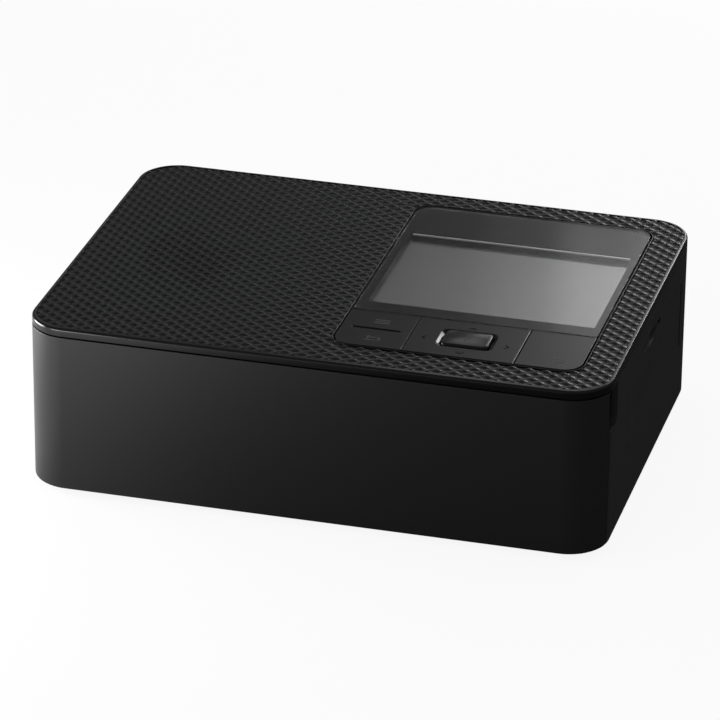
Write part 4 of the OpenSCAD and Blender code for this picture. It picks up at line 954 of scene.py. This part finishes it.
nodeFinishes = {
    "mattBaseAbs": ["base_plate", "front_bezel"],
    # the finger cup takes the extra dark polycarbonate: painted shade in the side notch
    "innerPolycarbonateAndNotchShade": ["finger_cup", "dc_jack", "paper_tray_guide", "paper_guides", "pinch_holders"],
    "printedMaskInk": ["panel_frame"],
    "mouldedSilicone": ["nav_rubber"],
    "zincPlatedSteel": ["screws"],
    "groundSteel": ["ink_door_pin", "pickup_shaft", "feed_roller", "platen_shaft", "cam_shaft", "head_pivot",
                    "chassis_ties"],
    "zincCoatedSheet": ["key_switches", "card_socket", "usb_port", "chassis_left", "chassis_right",
                        "motor_plate", "head_arm"],
    "drawnMotorSteel": ["feed_motor", "ribbon_motor", "head_motor"],
    "extrudedAluminium": ["heat_sink"],
    "solderMaskLaminate": ["key_board", "main_board", "power_board"],
    "mouldedEpoxy": ["board_chips"],
    "groundRollerRubber": ["pickup_rubber", "pinch_roller", "platen_rubber"],
    "mouldedAcetal": ["pickup_gear", "feed_gear", "feed_pinion", "ribbon_pinion", "head_pinion",
                      "take_up_gear"],
    "turnedAcetal": ["bearing_bushes"],
    "mouldedPolystyrene": ["ink_cassette"],
    "coatedDyeFilm": ["take_up_spool", "supply_spool", "ink_ribbon"],
    "greenLatchAbs": ["cassette_latch"],
    "glazedAlumina": ["thermal_head"],
}
for finish, nodes in nodeFinishes.items():
    for node in nodes:
        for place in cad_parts[node].material_slots:
            place.material = materials[finish]
print("finishes given to", sum(len(nodes) for nodes in nodeFinishes.values()), "solids")


# Camera, floor and light

cameraLook = {"azimuth": 14.88, "elevation": 25.33, "roll": 0.57, "distance": 1484.26, "target": (0, 0, 27.5),
              "right": 1.68, "up": 0.89, "lens": 235.74, "sensor": 36.0, "sight": 20}


def aimCamera():
    k = cameraLook
    az, el, roll = (math.radians(k[w]) for w in ("azimuth", "elevation", "roll"))
    back = Vector((math.sin(az) * math.cos(el), -math.cos(az) * math.cos(el), math.sin(el)))
    right = (-back).cross(Vector((0, 0, 1))).normalized()
    up = right.cross(-back)
    rolledRight = right * math.cos(roll) + up * math.sin(roll)
    rolledUp = up * math.cos(roll) - right * math.sin(roll)
    place = Vector(k["target"]) + back * k["distance"] - rolledRight * k["right"] - rolledUp * k["up"]
    data = bpy.data.cameras.new("productCamera")
    data.lens = k["lens"]
    data.sensor_width = k["sensor"]
    data.clip_end = k["sight"]
    camera = bpy.data.objects.new("productCamera", data)
    turn = Matrix((rolledRight, rolledUp, back)).transposed()
    camera.matrix_world = Matrix.Translation(place * mm) @ turn.to_4x4()
    scene.collection.objects.link(camera)
    scene.camera = camera


# The light path, and a node that is 1 for rays from a glossy face or through the window
def mirrorRays(tree):
    rays = addNode(tree, "ShaderNodeLightPath")
    mirrored = addNode(tree, "ShaderNodeMath", {"operation": "MAXIMUM"},
                       {0: rays.outputs["Is Glossy Ray"], 1: rays.outputs["Is Transmission Ray"]})
    return rays, mirrored


# The sheet glows where reflections meet it, painted light: mirrored gives that glow's least and most strength
# and its bend, fade the x span over which it dims
floorLook = {"size": 12.0, "colour": "#e6e6e6", "white": 0.9, "mirrored": (0.03, 1.0, 4.0),
             "fade": (-110.0, 60.0)}


def studioFloor():
    k = floorLook
    shape = bmesh.new()
    bmesh.ops.create_grid(shape, x_segments=1, y_segments=1, size=k["size"] / 2)
    floor = asObject("studioFloor", shape)
    shape.free()
    material = bpy.data.materials.new("paperSweep")
    tree = blankTree(material)
    paper = addNode(tree, "ShaderNodeBsdfDiffuse", {"Color": linearColour(k["colour"])})
    rays, mirrored = mirrorRays(tree)
    # in reflections the sheet glows, a painted pool of light that is bright at the left softboxes and fades
    # towards the right
    least, most, bend = k["mirrored"]
    spot = addNode(tree, "ShaderNodeTexCoord")
    place = addNode(tree, "ShaderNodeSeparateXYZ", links={0: spot.outputs["Object"]})
    fade = addNode(tree, "ShaderNodeMapRange", {"From Min": k["fade"][0] * mm, "From Max": k["fade"][1] * mm,
                                                "To Min": 1.0, "To Max": 0.0}, {"Value": place.outputs["X"]})
    curve = addNode(tree, "ShaderNodeMath", {"operation": "POWER", 1: bend}, {0: fade.outputs["Result"]})
    paintedGlow = addNode(tree, "ShaderNodeMath", {"operation": "MULTIPLY_ADD", 1: most, 2: least},
                  {0: curve.outputs[0]})
    level = addNode(tree, "ShaderNodeMath", {"operation": "MULTIPLY_ADD"},
                    {0: mirrored.outputs[0], 1: paintedGlow.outputs[0], 2: rays.outputs["Is Camera Ray"]})
    white = addNode(tree, "ShaderNodeEmission", {"Color": (1, 1, 1, 1)}, {"Strength": level.outputs[0]})
    share = addNode(tree, "ShaderNodeMath", {"operation": "MULTIPLY_ADD", 1: k["white"]},
                    {0: rays.outputs["Is Camera Ray"], 2: mirrored.outputs[0]})
    mix = addNode(tree, "ShaderNodeMixShader", links={0: share.outputs[0], 1: paper.outputs[0],
                                                      2: white.outputs[0]})
    addNode(tree, "ShaderNodeOutputMaterial", links={"Surface": mix.outputs[0]})
    floor.data.materials.append(material)


# Softboxes close to the left side, by place and radiant power
nearLamps = {"size": (120, 100), "aim": (-60, -40, 30), "boxes": {
    "leftSoftbox": ((-260, -60, 60), 0.778), "frontLeftSoftbox": ((-200, -260, 60), 0.287)}}
# Panels of the light wall behind, by azimuth from straight back towards the right, elevation and radiant
# power, seen from a point on the top cover
wallLamps = {"distance": 850, "from": (0, 0, 57), "size": (130, 120), "aim": (0, 0, 50), "panels": (
    (6, 12, 0.257), (6, 20, 0.201), (14, 36, 0.171), (-2, 12, 0.077), (6, 28, 0.0496), (-10, 36, 0.0473),
    (-18, 46, 0.0433), (-2, 46, 0.0208), (22, 58, 0.0179), (-28, 28, 0.016), (-18, 12, 0.0093))}
# Bright softbox behind on the right, which only steep edges that face right mirror
edgeLamp = {"at": (316, 744, 320), "size": (130, 110), "watts": 0.5}
# Slats in front of that wall, brighter from left to right: the fade that the flat panel shows
slatLamps = {"y": 774, "z": 420, "size": (36, 110), "slats": ((-160, 0.0008), (-124, 0.0032), (-88, 0.0115),
                                                             (-52, 0.019))}
# Even light on every face, and the share of the white surroundings that reflections meet: the studio round
# the white sheet is dark
worldLook = {"ambient": 0.65, "white": 1.0, "glossy": 0.135}


def addLamp(name, place, aim, size, watts):
    data = bpy.data.lights.new(name, "AREA")
    data.shape = "RECTANGLE"
    data.size, data.size_y = (s * mm for s in size)
    data.energy = watts
    lamp = bpy.data.objects.new(name, data)
    place, aim = Vector(place) * mm, Vector(aim) * mm
    lamp.matrix_world = Matrix.Translation(place) @ (place - aim).to_track_quat("Z", "Y").to_matrix().to_4x4()
    scene.collection.objects.link(lamp)


def studioLamps():
    k = nearLamps
    for name, (place, watts) in k["boxes"].items():
        addLamp(name, place, k["aim"], k["size"], watts)
    k = wallLamps
    for azimuth, elevation, watts in k["panels"]:
        az, el = math.radians(azimuth), math.radians(elevation)
        out = Vector((math.sin(az) * math.cos(el), math.cos(az) * math.cos(el), math.sin(el)))
        addLamp("wallPanel", out * k["distance"] + Vector(k["from"]), k["aim"], k["size"], watts)
    k = edgeLamp
    addLamp("edgeSoftbox", k["at"], wallLamps["aim"], k["size"], k["watts"])
    k = slatLamps
    for x, watts in k["slats"]:
        addLamp("fadeSlat", (x, k["y"], k["z"]), wallLamps["aim"], k["size"], watts)


def studioWorld():
    world = bpy.data.worlds.new("studio")
    tree = blankTree(world)
    rays, mirrored = mirrorRays(tree)
    plain, glossy, white = (addNode(tree, "ShaderNodeBackground", {"Color": (1, 1, 1, 1),
                                                                   "Strength": worldLook[k]})
                            for k in ("ambient", "glossy", "white"))
    unseen = addNode(tree, "ShaderNodeMixShader", links={0: mirrored.outputs[0], 1: plain.outputs[0],
                                                         2: glossy.outputs[0]})
    mix = addNode(tree, "ShaderNodeMixShader", links={0: rays.outputs["Is Camera Ray"], 1: unseen.outputs[0],
                                                      2: white.outputs[0]})
    addNode(tree, "ShaderNodeOutputWorld", links={"Surface": mix.outputs[0]})
    scene.world = world


aimCamera()
studioFloor()
studioLamps()
studioWorld()
print("studio done")
